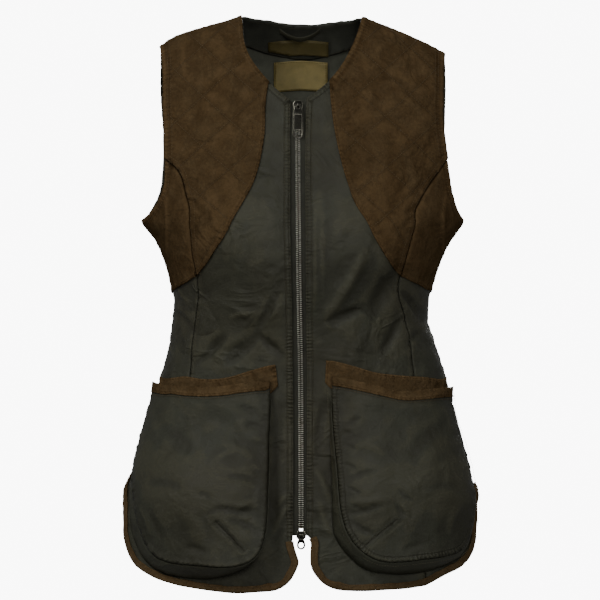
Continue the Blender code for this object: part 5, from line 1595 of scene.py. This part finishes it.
class Repeat(Nodes):
    """A geometry node group that lays a shape at each step of a line, along it and turned to the surface."""

    def __init__(self, name, axis, sizes, shape_of):
        self.tree = bpy.data.node_groups.new(name, "GeometryNodeTree")
        for way in ("INPUT", "OUTPUT"):
            self.tree.interface.new_socket("Geometry", in_out=way, socket_type="NodeSocketGeometry")
        self.names = {}
        for key, kind, value in (*sizes, ("Material", "Material", None)):
            socket = self.tree.interface.new_socket(key, in_out="INPUT", socket_type="NodeSocket" + kind)
            if value is not None:
                socket.default_value = value
            self.names[key] = socket.identifier
        start = self.node("NodeGroupInput").outputs
        curve = self.node("GeometryNodeMeshToCurve", {"Mesh": start["Geometry"]}).outputs["Curve"]
        steps = self.node("GeometryNodeResampleCurve", {"Curve": curve, "Length": start["Pitch"]}, mode="LENGTH")
        outs = self.node("GeometryNodeInputNamedAttribute", {"Name": "outward"}, data_type="FLOAT_VECTOR")
        tangent = self.node("GeometryNodeInputTangent").outputs[0]
        first = self.node("FunctionNodeAlignRotationToVector", {"Vector": tangent}, axis=axis).outputs[0]
        second = self.node("FunctionNodeAlignRotationToVector", {
            "Rotation": first, "Vector": outs.outputs["Attribute"],
        }, axis="Z", pivot_axis=axis)
        places = self.node("GeometryNodeInstanceOnPoints", {
            "Points": steps.outputs["Curve"], "Instance": shape_of(self, start), "Rotation": second.outputs[0],
        })
        lower = self.node("ShaderNodeMath", {0: start["Unevenness"], 1: -1.0}, operation="MULTIPLY").outputs[0]
        swing = self.node("FunctionNodeRandomValue", {
            "Seed": start["Seed"], 2: lower, 3: start["Unevenness"],
        }, data_type="FLOAT").outputs[1]
        turned = self.node("GeometryNodeRotateInstances", {
            "Instances": places.outputs["Instances"],
            "Rotation": self.node("ShaderNodeCombineXYZ", {"Z": swing}).outputs[0],
        })
        realize = self.node("GeometryNodeRealizeInstances", {"Geometry": turned.outputs["Instances"]})
        finish = self.node("GeometryNodeSetMaterial", {
            "Geometry": realize.outputs["Geometry"], "Material": start["Material"],
        })
        self.node("NodeGroupOutput", {"Geometry": finish.outputs["Geometry"]})


def run_tree(item, repeat, values, name):
    """Runs a node tree on an object and gives its result as a plain mesh object."""
    modifier = item.modifiers.new("repeat", "NODES")
    modifier.node_group = repeat.tree
    for key, value in values.items():
        modifier[repeat.names[key]] = value
    depsgraph = bpy.context.evaluated_depsgraph_get()
    mesh = bpy.data.meshes.new_from_object(item.evaluated_get(depsgraph), depsgraph=depsgraph)
    mesh.name = name
    mesh.materials.clear()
    mesh.materials.append(values["Material"])
    mesh.polygons.foreach_set("material_index", np.zeros(len(mesh.polygons), np.int32))
    bpy.data.objects.remove(item)
    mesh.shade_smooth()
    return linked(name, mesh)


def path_object(lines, name):
    """Loose edges along lines of points in millimetres, with the outward direction kept on each point."""
    points, outs, edges = [], [], []
    for line, normal in lines:
        start = len(points)
        points += [tuple(p) for p in np.asarray(line) * MM]
        outs += [tuple(n) for n in normal]
        edges += [(start + i, start + i + 1) for i in range(len(line) - 1)]
    mesh = bpy.data.meshes.new(name)
    mesh.from_pydata(points, edges, [])
    attribute = mesh.attributes.new("outward", "FLOAT_VECTOR", "POINT")
    attribute.data.foreach_set("vector", np.array(outs, float).ravel())
    return linked(name, mesh)


def thread_shape(repeat, start):
    """The thread of one stitch, sunk at both ends."""
    half = repeat.node("ShaderNodeMath", {0: start["Length"], 1: 0.5}, operation="MULTIPLY").outputs[0]
    low = repeat.node("ShaderNodeMath", {0: start["Thread"], 1: 0.8}, operation="MULTIPLY").outputs[0]
    size = repeat.node("ShaderNodeCombineXYZ", {"X": half, "Y": start["Thread"], "Z": low}).outputs[0]
    ball = repeat.node("GeometryNodeMeshUVSphere", {"Segments": 6, "Rings": 4, "Radius": 1.0}).outputs["Mesh"]
    return repeat.node("GeometryNodeTransform", {"Geometry": ball, "Scale": size}).outputs["Geometry"]


def make_stitching():
    """Every stitch line of the vest, one piece for each thread."""
    sizes = bpy.context.scene.vest_stitches
    for number, (group, lines) in enumerate(LINES.items()):
        repeat = Repeat("Stitches along a line", "X", (
            ("Pitch", "Float", 0.003), ("Length", "Float", 0.0024), ("Thread", "Float", 0.0003),
            ("Seed", "Int", 3), ("Unevenness", "Float", 0.12),
        ), thread_shape)
        item = run_tree(path_object(lines, group + "_lines"), repeat, {
            "Pitch": sizes.pitch, "Length": sizes.length, "Thread": sizes.thread, "Seed": number,
            "Unevenness": sizes.unevenness, "Material": material(group),
        }, "stitches_" + group)
        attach(item, "vest")


def tooth_object(sign):
    """One tooth of the zip, as a shape for the node tree: a rounded block."""
    work = bmesh.new()
    bmesh.ops.create_cube(work, size=1.0)
    for corner in work.verts:
        corner.co.x = (corner.co.x * TOOTH_WIDE + sign * TOOTH_SHIFT) * MM
        corner.co.y *= TOOTH_TALL * MM
        corner.co.z = (corner.co.z * TOOTH_DEEP + (CHAIN_OUT + CHAIN_IN) / 2) * MM
    bmesh.ops.bevel(work, geom=work.edges[:], offset=0.3 * MM, segments=1, profile=0.5, affect="EDGES")
    return object_of(work, "tooth")


def tooth_shape(repeat, start):
    """The tooth that a node tree is given."""
    return repeat.node("GeometryNodeObjectInfo", {"Object": start["Tooth"]}).outputs["Geometry"]


def make_teeth():
    """The closed chain: a row of teeth on each tape, half a pitch apart."""
    sizes = bpy.context.scene.vest_zip
    top = UPPER_SLIDER_UP - UPPER_LONG_HALF - 2 * SEAT_GAP
    foot = LOWER_SLIDER_UP + LOWER_LONG_HALF + 2 * SEAT_GAP
    items = []
    for sign, shift in ((-1, 0.0), (1, 0.5)):
        ups = np.linspace(top - 0.6 - shift * sizes.pitch / MM, foot + 0.6, 190)
        base, normal, lift = surface(zip_way(0.0, ups), "front")
        line = base + normal * lift[:, None]
        normal[:, 0] = 0
        normal /= np.linalg.norm(normal, axis=1, keepdims=True)
        tooth = tooth_object(sign)
        repeat = Repeat("Zip teeth along a line", "Y", (
            ("Pitch", "Float", 0.00245), ("Tooth", "Object", None), ("Seed", "Int", 5),
            ("Unevenness", "Float", 0.02),
        ), tooth_shape)
        items.append(run_tree(path_object([(line, normal)], "teeth_line"), repeat, {
            "Pitch": sizes.pitch, "Tooth": tooth, "Seed": 5 + sign, "Unevenness": sizes.unevenness,
            "Material": material("zip_metal"),
        }, "teeth"))
        bpy.data.objects.remove(tooth)
    adopt(join_pieces(items, "zip_teeth_metal"), "zip_chain", "vest")


# Materials

class Finish(Nodes):
    """A Principled material whose nodes are added step by step."""

    def __init__(self, name, rough, metallic=0.0, specular=0.5):
        made = bpy.data.materials.new("vest_" + name)
        made.use_nodes = True
        self.tree = made.node_tree
        self.shader = self.tree.nodes["Principled BSDF"]
        for key, value in (("Roughness", rough), ("Metallic", metallic), ("Specular IOR Level", specular)):
            self.shader.inputs[key].default_value = value
        coordinates = self.node("ShaderNodeTexCoord").outputs
        self.place, self.cloth = coordinates["Object"], coordinates["UV"]
        self.bumped = None

    def feed(self, key, source):
        """Links a field to a socket of the shader."""
        self.tree.links.new(source, self.shader.inputs[key])

    def stretched(self, source, scale, turn=0.0):
        """Coordinates stretched by a scale for each axis."""
        inputs = {"Vector": source, "Scale": scale, "Rotation": (0, 0, turn)}
        return self.node("ShaderNodeMapping", inputs).outputs["Vector"]

    def noise(self, scale, detail=3.0, rough=0.55, distortion=0.0, stretch=None, turn=0.0):
        """A noise field from 0 to 1."""
        source = self.stretched(self.place, stretch, turn) if stretch else self.place
        return self.node("ShaderNodeTexNoise", {
            "Vector": source, "Scale": scale, "Detail": detail, "Roughness": rough, "Distortion": distortion,
        }).outputs["Fac"]

    def cloud(self, *noise):
        """A noise field with its contrast raised."""
        return self.span(self.noise(*noise), 0.35, 0.65, 0.0, 1.0)

    def cracks(self, width, *noise):
        """Thin lines, 1 where a noise field passes its middle."""
        return self.span(self.off(self.noise(*noise), 0.5), 0.0, width, 1.0, 0.0)

    def lines(self, source, direction, scale, distortion):
        """Fine lines across or down the cloth."""
        inputs = {"Vector": source, "Scale": scale, "Distortion": distortion}
        return self.node("ShaderNodeTexWave", inputs, bands_direction=direction).outputs["Fac"]

    def ramp(self, source, *stops):
        """A colour ramp through (place, colour) stops."""
        made = self.node("ShaderNodeValToRGB", {"Fac": source})
        points = made.color_ramp.elements
        while len(points) < len(stops):
            points.new(0.5)
        for point, (at, colour) in zip(points, stops):
            point.position, point.color = at, (*colour, 1.0)
        return made.outputs["Color"]

    def tones(self, source, *stops):
        """A colour ramp through (place, grey) stops."""
        return self.ramp(source, *((at, (grey,) * 3) for at, grey in stops))

    def span(self, source, low, high, to_low, to_high):
        """A field moved from one range to another, and held inside it."""
        inputs = {"Value": source, "From Min": low, "From Max": high, "To Min": to_low, "To Max": to_high}
        return self.node("ShaderNodeMapRange", inputs).outputs["Result"]

    def maths(self, operation, one, two=0.0):
        """A maths node on two sockets or numbers."""
        return self.node("ShaderNodeMath", {0: one, 1: two}, operation=operation).outputs[0]

    def times(self, one, two):
        """The product of two sockets or numbers."""
        return self.maths("MULTIPLY", one, two)

    def off(self, field, at):
        """How far a field is from a value."""
        return self.maths("ABSOLUTE", self.maths("SUBTRACT", field, at))

    def mix(self, share, one, two, blend="MIX"):
        """A mix of a colour field with another, or with a plain colour."""
        inputs = {0: share, 6: one, 7: (*two, 1.0) if isinstance(two, tuple) else two}
        return self.node("ShaderNodeMix", inputs, data_type="RGBA", blend_type=blend).outputs[2]

    def attribute(self, name):
        """A number kept on the piece's points."""
        return self.node("ShaderNodeAttribute", attribute_name=name).outputs["Fac"]

    def bump(self, height, distance, strength=1.0):
        """Adds a bump on top of those before it."""
        inputs = {"Height": height, "Distance": distance, "Strength": strength}
        if self.bumped is not None:
            inputs["Normal"] = self.bumped
        self.bumped = self.node("ShaderNodeBump", inputs).outputs["Normal"]
        self.feed("Normal", self.bumped)


def shade(colour, factor, warmth=0.0):
    """A colour made lighter or darker, and warmer or cooler."""
    return tuple(min(c * factor * w, 1.0) for c, w in zip(colour, (1 + warmth, 1.0, 1 - warmth)))


def seam_marks(finish, tone, colour, lines, pitch, share):
    """Puckers beside a piece's edges, with a painted highlight on their tops and painted shade in their hollows,
    grooves under its stitch lines darkened with painted shade, and a rubbed edge, as tone and height.
    """
    edge, run = finish.attribute("edge"), finish.attribute("run")
    sway = finish.times(finish.noise(90.0, 2.0), pitch * 1.6)
    wave = finish.maths("SINE", finish.times(finish.maths("ADD", run, sway), 2 * math.pi / pitch))
    uneven = finish.cloud(34.0, 3.0)
    near = finish.times(finish.span(edge, 1.0, lines[-1] + 3.5, share, 0.0), uneven)
    height = finish.times(finish.span(wave, -1.0, 1.0, 0.0, 1.0), near)
    # Painted highlight on the pucker tops
    tone = finish.mix(finish.times(height, 0.5), tone, shade(colour, 1.7, 0.05))
    # Painted shade in the pucker hollows
    pucker_shade = finish.times(finish.span(wave, 0.1, -0.9, 0.0, 0.4), near)
    tone = finish.mix(pucker_shade, tone, shade(colour, 0.45, 0.12))
    for at in lines:
        # Painted shade in the groove under each stitch line, which is also sunk into the height
        groove_and_shade = finish.span(finish.off(edge, at), 0.2, 1.2, share * 0.4, 0.0)
        tone = finish.mix(groove_and_shade, tone, shade(colour, 0.5, 0.12))
        height = finish.maths("SUBTRACT", height, groove_and_shade)
    # A paler rubbed edge, wear of the cloth
    bright_edge = finish.times(finish.span(edge, 0.2, 1.5, 0.6, 0.0), uneven)
    return finish.mix(bright_edge, tone, shade(colour, 1.8, 0.05)), height


def waxed_cotton(name, colour, lines, folds):
    """Oiled cotton: cool where the wax lies even, brown where it wears, pale along cracks, rubbed seams and
    raised cloth, with painted shade where it lies sunken and in its stitch grooves, and painted highlights and
    shade on its puckers.
    """
    finish = Finish(name, COTTON_ROUGH, specular=0.26)
    wear_and_shade = finish.attribute("wear_and_shade")
    large, small = finish.cloud(7.0, 3.0, 0.5, 0.4), finish.cloud(60.0, 5.0, 0.7, 0.3)
    tone = finish.ramp(large, (0.0, shade(colour, 0.88, 0.05)), (0.5, colour), (1.0, shade(colour, 1.12, -0.04)))
    mottle = finish.ramp(small, (0.0, (0.88, 0.87, 0.86)), (0.5, (1.0, 1.0, 1.0)), (1.0, (1.12, 1.12, 1.11)))
    tone = finish.mix(0.8, tone, mottle, "MULTIPLY")
    ridge = finish.cracks(0.03, 26.0, 6.0, 0.65, 0.8, (1.0, 1.0, 1.5))
    some = finish.span(finish.noise(14.0, 3.0, 0.5), 0.52, 0.66, 0.0, 0.16)
    pale = finish.maths("ADD", some, finish.span(wear_and_shade, 0.15, 0.8, 0.0, 0.35))
    tone = finish.mix(finish.times(ridge, pale), tone, shade(colour, 2.0, 0.05))
    # Raised cloth rubs paler
    tone = finish.mix(finish.span(wear_and_shade, 0.2, 1.0, 0.0, 0.35), tone, shade(colour, 1.6, 0.06))
    # Painted shade where the cloth lies sunken
    tone = finish.mix(finish.span(wear_and_shade, -0.15, -1.0, 0.0, 0.35), tone, shade(colour, 0.5, 0.08))
    tone, seam = seam_marks(finish, tone, colour, lines, 4.2, 1.0)
    finish.feed("Base Color", tone)
    finish.feed("Roughness", finish.span(small, 0.0, 1.0, COTTON_ROUGH - 0.06, COTTON_ROUGH + 0.1))
    fold = finish.cracks(0.09, 15.0, 3.0, 0.5, 0.7, (1.0, 1.0, 1.4), 0.5)
    weave = finish.times(*(finish.lines(finish.cloth, way, WEAVE_SCALE, 0.6) for way in "XY"))
    finish.bump(finish.noise(16.0, 2.0, 0.45, 0.5, (1.0, 1.0, 0.7)), 0.010)
    finish.bump(finish.noise(60.0, 4.0, 0.55, 0.6), 0.0013)
    finish.bump(finish.times(fold, finish.cloud(9.0, 2.0)), folds)
    finish.bump(seam, 0.0014)
    finish.bump(ridge, 0.0003, 0.4)
    finish.bump(weave, 0.00022, 0.5)


def suede(name, colour, patch_scale):
    """Napped suede: brushed light and dark patches, wrinkles, a fine nap and paler rubbed ridges, with painted
    shade where it lies sunken and in its stitch grooves, and painted highlights and shade on the puckers at its
    seams.
    """
    finish = Finish(name, 1.0, specular=0.0)
    wear_and_shade = finish.attribute("wear_and_shade")
    brushed = finish.cloud(patch_scale, 6.0, 0.68, 1.8, (1.0, 1.0, 0.6))
    speckle = finish.cloud(260.0, 5.0, 0.8, 0.6)
    tone = finish.ramp(
        brushed, (0.0, shade(colour, 0.87, 0.03)), (0.35, shade(colour, 0.97, 0.01)),
        (0.62, shade(colour, 1.03, -0.01)), (1.0, shade(colour, 1.18, -0.03)),
    )
    grain = finish.ramp(speckle, (0.0, (0.78, 0.78, 0.78)), (0.5, (1.0, 1.0, 1.0)), (1.0, (1.26, 1.25, 1.23)))
    tone = finish.mix(0.8, tone, grain, "MULTIPLY")
    vein = finish.cracks(0.03, 24.0, 7.0, 0.7, 2.6, (1.0, 1.0, 1.3))
    some = finish.span(finish.noise(17.0, 3.0, 0.5), 0.44, 0.62, 0.0, 0.3)
    tone = finish.mix(finish.times(vein, some), tone, shade(colour, 1.9, 0.08))
    # Raised suede rubs paler
    tone = finish.mix(finish.span(wear_and_shade, 0.15, 0.9, 0.0, 0.4), tone, shade(colour, 1.6, 0.02))
    # Painted shade where the suede lies sunken
    tone = finish.mix(finish.span(wear_and_shade, -0.2, -1.0, 0.0, 0.3), tone, shade(colour, 0.5, 0.04))
    tone, seam = seam_marks(finish, tone, colour, (2.4,), 5.2, 0.9)
    finish.feed("Base Color", tone)
    finish.bump(finish.noise(22.0, 3.0, 0.5, 1.2), 0.009)
    finish.bump(brushed, 0.0008)
    finish.bump(seam, 0.0012, 0.9)
    finish.bump(vein, 0.0006, 0.5)
    finish.bump(speckle, 0.00035)
    finish.bump(finish.noise(1400.0, 3.0, 0.7), 0.0003, 0.6)


def twill(name, colour, rough, scale, turn):
    """A close twill or tape, with its diagonal in the bump and faintly in the colour, and painted shade where it
    lies sunken.
    """
    finish = Finish(name, rough, specular=0.25)
    diagonal = finish.lines(finish.stretched(finish.cloth, (1.0, 1.0, 1.0), turn), "X", scale, 0.4)
    cloudy = finish.noise(40.0, 4.0, 0.6)
    tone = finish.ramp(cloudy, (0.3, shade(colour, 0.75)), (0.55, colour), (0.75, shade(colour, 1.3)))
    tone = finish.mix(0.8, tone, finish.tones(diagonal, (0.2, 0.7), (0.8, 1.15)), "MULTIPLY")
    # Painted shade where the cloth lies sunken
    wear_and_shade = finish.span(finish.attribute("wear_and_shade"), -0.2, -1.0, 0.0, 0.4)
    finish.feed("Base Color", finish.mix(wear_and_shade, tone, shade(colour, 0.5)))
    finish.bump(finish.noise(160.0, 4.0, 0.7), 0.0006, 0.3)
    finish.bump(diagonal, 0.0002, 0.7)


def metal(name, light, dark, rough):
    """Aged metal, mottled dark and light, with its rounded edges made much brighter as rubbed metal and a painted
    highlight, and fine scratches.
    """
    finish = Finish(name, rough, 1.0)
    tone = finish.ramp(finish.noise(380.0, 5.0, 0.7), (0.32, dark), (0.5, light), (0.72, shade(light, 1.5)))
    # Painted highlight on the rounded edges, also standing for rubbed metal, and smoother there
    bright_edge = finish.attribute("bright_edge")
    finish.feed("Base Color", finish.mix(finish.times(bright_edge, 0.8), tone, shade(light, 20.0)))
    grain = finish.span(finish.noise(900.0, 3.0, 0.6), 0.3, 0.7, rough - 0.1, rough + 0.18)
    finish.feed("Roughness", finish.maths("SUBTRACT", grain, finish.times(bright_edge, 0.12)))
    finish.bump(finish.noise(700.0, 4.0, 0.7, 0.0, (1.0, 1.0, 6.0)), 0.00012, 0.5)


def thread(name, colour):
    """Spun thread, a little uneven in tone."""
    finish = Finish(name, 0.8, specular=0.2)
    stops = (0.35, shade(colour, 0.7)), (0.55, colour), (0.75, shade(colour, 1.35))
    finish.feed("Base Color", finish.ramp(finish.noise(60.0, 3.0, 0.6), *stops))
    finish.bump(finish.noise(3000.0, 2.0, 0.6), 0.0001, 0.6)


def label_cloth(name, colour):
    """Satin woven label: fine lines across it and a soft lustre."""
    finish = Finish(name, 0.5, specular=0.4)
    weft = finish.lines(finish.cloth, "Y", 70.0, 0.3)
    cloudy = finish.noise(70.0, 4.0, 0.65)
    tone = finish.ramp(cloudy, (0.3, shade(colour, 0.8)), (0.55, colour), (0.75, shade(colour, 1.2)))
    finish.feed("Base Color", finish.mix(0.8, tone, finish.tones(weft, (0.1, 0.78), (0.9, 1.1)), "MULTIPLY"))
    finish.bump(weft, 0.00015, 0.6)


def stage_paper(sizes):
    """Matt pale paper, which glows away from the vest."""
    finish = Finish("stage_paper", 0.9)
    paper = finish.tones(finish.noise(3.0, 2.0, 0.5), (0.3, PAPER * 0.99), (0.7, PAPER))
    finish.feed("Base Color", paper)
    away = finish.node("ShaderNodeVectorMath", {0: finish.place}, operation="LENGTH").outputs["Value"]
    finish.shader.inputs["Emission Color"].default_value = (1.0, 1.0, 1.0, 1.0)
    finish.feed("Emission Strength", finish.span(away, 1.2, 5.0, 0.4, sizes.wall_glow))


# What a user can change

def colour_property(name, description, default):
    """A linear colour."""
    return bpy.props.FloatVectorProperty(
        name=name, description=description, default=default, size=3, min=0.0, max=1.0, subtype="COLOR",
    )


class VestColours(bpy.types.PropertyGroup):
    """Colours of the cloths, suedes, threads and metals."""

    cotton: colour_property("Waxed cotton", "Outer cloth of fronts, back and pockets", (0.0320, 0.0318, 0.0195))
    suede: colour_property("Suede", "Quilted suede on the shoulders", (0.066, 0.0425, 0.0203))
    trim: colour_property("Suede trim", "Suede of bindings and pocket mouths", (0.080, 0.053, 0.026))
    facing: colour_property("Facing", "Twill inside the back of the neck", (0.040, 0.041, 0.030))
    tape: colour_property("Zip tape", "Woven tape beside the teeth", (0.032, 0.032, 0.023))
    teeth: colour_property("Zip teeth", "Aged metal of the teeth", (0.70, 0.68, 0.58))
    slider: colour_property("Sliders", "Darker metal of sliders and tabs", (0.013, 0.0125, 0.010))
    label_dark: colour_property("Upper label", "Dark woven label", (0.078, 0.060, 0.013))
    label_gold: colour_property("Lower label", "Gold woven label", (0.225, 0.175, 0.055))
    suede_thread: colour_property("Suede thread", "Thread on the suede", (0.088, 0.061, 0.030))
    cotton_thread: colour_property("Cotton thread", "Thread on the waxed cotton", (0.060, 0.054, 0.032))
    label_thread: colour_property("Label thread", "Thread round the labels", (0.07, 0.055, 0.02))


class VestStitches(bpy.types.PropertyGroup):
    """Sizes of the stitching."""

    pitch: bpy.props.FloatProperty(
        name="Pitch", description="Distance from one stitch to the next", default=0.0031, unit="LENGTH")
    length: bpy.props.FloatProperty(
        name="Length", description="Length of the thread that shows in a stitch", default=0.0025, unit="LENGTH")
    thread: bpy.props.FloatProperty(
        name="Thread", description="Half the thickness of the thread", default=0.00033, unit="LENGTH")
    unevenness: bpy.props.FloatProperty(
        name="Unevenness", description="How far a stitch turns from its line", default=0.10, subtype="ANGLE")


class VestZip(bpy.types.PropertyGroup):
    """Sizes of the zip."""

    pitch: bpy.props.FloatProperty(
        name="Tooth pitch", description="Distance from one tooth of a side to the next", default=0.00245,
        unit="LENGTH")
    unevenness: bpy.props.FloatProperty(
        name="Unevenness", description="How far a tooth turns from its line", default=0.02, subtype="ANGLE")


class VestStage(bpy.types.PropertyGroup):
    """The camera, the lights and the floor."""

    view_width: bpy.props.FloatProperty(
        name="View width", description="Width of the picture at the vest", default=0.708, unit="LENGTH")
    distance: bpy.props.FloatProperty(
        name="Camera distance", description="From the camera to the vest", default=9.0, unit="LENGTH")
    floor_up: bpy.props.FloatProperty(
        name="Floor height", description="Height of the floor", default=-0.9, unit="LENGTH")
    wall_distance: bpy.props.FloatProperty(
        name="Wall distance", description="From the vest to the round wall", default=14.0, unit="LENGTH")
    wall_glow: bpy.props.FloatProperty(
        name="Wall glow", description="How bright the wall round the vest shines", default=9.0, min=0.0)
    key_power: bpy.props.FloatProperty(
        name="Main light", description="Power of the main light", default=86.0, subtype="POWER")
    fill_power: bpy.props.FloatProperty(
        name="Fill light", description="Power of the fill light", default=60.0, subtype="POWER")
    back_power: bpy.props.FloatProperty(
        name="Back light", description="Power of the light behind the vest", default=170.0, subtype="POWER")
    world: bpy.props.FloatProperty(
        name="Surroundings", description="Strength of the light all round", default=0.22, min=0.0)


# One operator for each group of pieces

class VestOperator(bpy.types.Operator):
    """Makes one group of the vest's pieces"""

    bl_options = {"REGISTER", "UNDO"}


class VEST_OT_materials(VestOperator):
    """Makes every cloth, suede, thread and metal of the vest"""

    bl_idname = "vest.materials"
    bl_label = "Materials"

    def execute(self, context):
        c = context.scene.vest_colours
        waxed_cotton("waxed_cotton", c.cotton, (2.0, 7.0), 0.0016)
        waxed_cotton("pocket_cotton", shade(c.cotton, 0.94), (5.4,), 0.0006)
        suede("suede", c.suede, 30.0)
        suede("suede_trim", c.trim, 44.0)
        twill("facing_cloth", c.facing, 0.8, 60.0, 0.8)
        # A copy of the facing twill made 2.25 times lighter, painted light for the shaded inside of the back
        twill("lining_cloth_painted_light", shade(c.facing, 2.25), 0.8, 60.0, 0.8)
        twill("zip_tape", c.tape, 0.85, 70.0, 0.0)
        metal("zip_metal", c.teeth, shade(c.teeth, 0.35), 0.38)
        metal("dark_metal", c.slider, shade(c.slider, 0.45), 0.4)
        label_cloth("label_dark", c.label_dark)
        label_cloth("label_gold", c.label_gold)
        thread("suede_thread", c.suede_thread)
        thread("trim_thread", c.suede_thread)
        thread("cotton_thread", c.cotton_thread)
        thread("label_thread", c.label_thread)
        return {"FINISHED"}


class VEST_OT_fronts(VestOperator):
    """Makes the two fronts and their side panels"""

    bl_idname = "vest.fronts"
    bl_label = "Fronts and sides"

    def execute(self, context):
        for side in SIGN:
            make_fronts(side)
        return {"FINISHED"}


class VEST_OT_patches(VestOperator):
    """Makes the quilted suede patches"""

    bl_idname = "vest.patches"
    bl_label = "Suede patches"

    def execute(self, context):
        for side in SIGN:
            make_patches(side)
        return {"FINISHED"}


class VEST_OT_back(VestOperator):
    """Makes the back"""

    bl_idname = "vest.back"
    bl_label = "Back"

    def execute(self, context):
        make_back()
        return {"FINISHED"}


class VEST_OT_neck(VestOperator):
    """Makes the facing, the labels and the hanger loop"""

    bl_idname = "vest.neck"
    bl_label = "Inside the neck"

    def execute(self, context):
        make_neck()
        make_loop()
        return {"FINISHED"}


class VEST_OT_pockets(VestOperator):
    """Makes both bellows pockets"""

    bl_idname = "vest.pockets"
    bl_label = "Pockets"

    def execute(self, context):
        for side in SIGN:
            make_pocket(side)
        return {"FINISHED"}


class VEST_OT_hems(VestOperator):
    """Makes the suede bindings of the hem"""

    bl_idname = "vest.hems"
    bl_label = "Hem bindings"

    def execute(self, context):
        make_hems()
        return {"FINISHED"}


class VEST_OT_zip(VestOperator):
    """Makes the tapes, the teeth, the sliders and the pull tabs"""

    bl_idname = "vest.zip"
    bl_label = "Zip"

    def execute(self, context):
        make_tapes()
        make_teeth()
        make_sliders()
        return {"FINISHED"}


class VEST_OT_stitching(VestOperator):
    """Makes the stitching on every line that the other steps left"""

    bl_idname = "vest.stitching"
    bl_label = "Stitching"

    def execute(self, context):
        if not any(LINES.values()):
            raise RuntimeError("make the cloth pieces before the stitching")
        make_stitching()
        return {"FINISHED"}


class VEST_OT_stage(VestOperator):
    """Makes the floor, the lights and the camera"""

    bl_idname = "vest.stage"
    bl_label = "Stage"

    def execute(self, context):
        make_stage(context)
        return {"FINISHED"}


OPERATORS = (
    VEST_OT_materials, VEST_OT_fronts, VEST_OT_patches, VEST_OT_back, VEST_OT_neck, VEST_OT_pockets, VEST_OT_hems,
    VEST_OT_zip, VEST_OT_stitching, VEST_OT_stage,
)
GROUPS = {
    "vest_colours": VestColours, "vest_stitches": VestStitches, "vest_zip": VestZip, "vest_stage": VestStage,
}


class VEST_PT_panel(bpy.types.Panel):
    """Lists the vest's sizes, colours and steps"""

    bl_idname = "VEST_PT_panel"
    bl_label = "Vest"
    bl_space_type = "VIEW_3D"
    bl_region_type = "UI"
    bl_category = "Vest"

    def draw(self, context):
        for name, group in GROUPS.items():
            box = self.layout.box()
            for key in group.__annotations__:
                box.prop(getattr(context.scene, name), key)
        for operator in OPERATORS:
            self.layout.operator(operator.bl_idname)


def make_area_light(name, place_at, target, size, power):
    """A soft square light that faces a point."""
    data = bpy.data.lights.new(name, "AREA")
    data.size, data.energy = size, power
    item = linked(name, data)
    item.location = place_at
    item.rotation_euler = (Vector(target) - Vector(place_at)).to_track_quat("-Z", "Y").to_euler()


def make_stage(context):
    """A pale round floor that turns up into a bright wall, soft lights, and the camera straight in front."""
    sizes = context.scene.vest_stage
    low, high = CAD_BOX
    start, bend = sizes.wall_distance - WALL_BEND, np.linspace(0.1, math.pi / 2, 14)
    profile = [(0.1, 0.0), (2.0, 0.0), (start, 0.0)]
    profile += [(start + WALL_BEND * math.sin(a), WALL_BEND * (1 - math.cos(a))) for a in bend]
    profile += [(sizes.wall_distance, WALL_TOP)]
    points = [
        (away * math.cos(a) / MM, away * math.sin(a) / MM, (sizes.floor_up + up) / MM)
        for away, up in profile for a in np.linspace(0, 2 * math.pi, STAGE_SIDES, endpoint=False)
    ]
    faces = [tuple(range(STAGE_SIDES))]
    for i in range(len(profile) - 1):
        for k in range(STAGE_SIDES):
            n, here, there = (k + 1) % STAGE_SIDES, i * STAGE_SIDES, (i + 1) * STAGE_SIDES
            faces.append((here + k, there + k, there + n, here + n))
    stage_paper(sizes)
    floor = add_piece("floor", points, faces, "stage_paper")
    floor.visible_diffuse = False
    floor.visible_glossy = False

    camera = bpy.data.cameras.new("camera")
    camera.sensor_width = 36.0
    camera.lens = camera.sensor_width * (sizes.distance + VIEW_PLANE * MM) / sizes.view_width
    camera.clip_end = 60.0
    viewer = linked("camera", camera)
    across, up = (PHOTO_MIDDLE - PHOTO_ZERO[0]) * PIXEL * MM, (PHOTO_ZERO[1] - PHOTO_MIDDLE) * PIXEL * MM
    viewer.location = (across, -sizes.distance, up)
    viewer.rotation_euler = (math.pi / 2, 0.0, 0.0)
    context.scene.camera = viewer

    target = (0.0, 0.0, (low[2] + high[2]) / 2)
    make_area_light("main_light", (-2.0, -2.7, 2.3), target, 1.1, sizes.key_power)
    make_area_light("fill_light", (0.6, -4.1, 0.8), target, 1.2, sizes.fill_power)
    make_area_light("back_light", (0.4, 3.4, 1.6), target, 1.6, sizes.back_power)
    world = bpy.data.worlds.new("surroundings")
    world.use_nodes = True
    background = world.node_tree.nodes["Background"]
    background.inputs["Color"].default_value = (1.0, 1.0, 1.0, 1.0)
    background.inputs["Strength"].default_value = sizes.world
    context.scene.world = world


def register():
    """Registers the groups, the operators and the panel."""
    for kind in (*GROUPS.values(), *OPERATORS, VEST_PT_panel):
        bpy.utils.register_class(kind)
    for name, group in GROUPS.items():
        setattr(bpy.types.Scene, name, bpy.props.PointerProperty(type=group))


def unregister():
    """Takes back what register did."""
    for name in GROUPS:
        delattr(bpy.types.Scene, name)
    for kind in (VEST_PT_panel, *reversed(OPERATORS), *GROUPS.values()):
        bpy.utils.unregister_class(kind)


def main():
    """Makes the whole vest and its stage."""
    register()
    for operator in OPERATORS:
        group, name = operator.bl_idname.split(".")
        getattr(getattr(bpy.ops, group), name)()


if __name__ == "__main__":
    main()
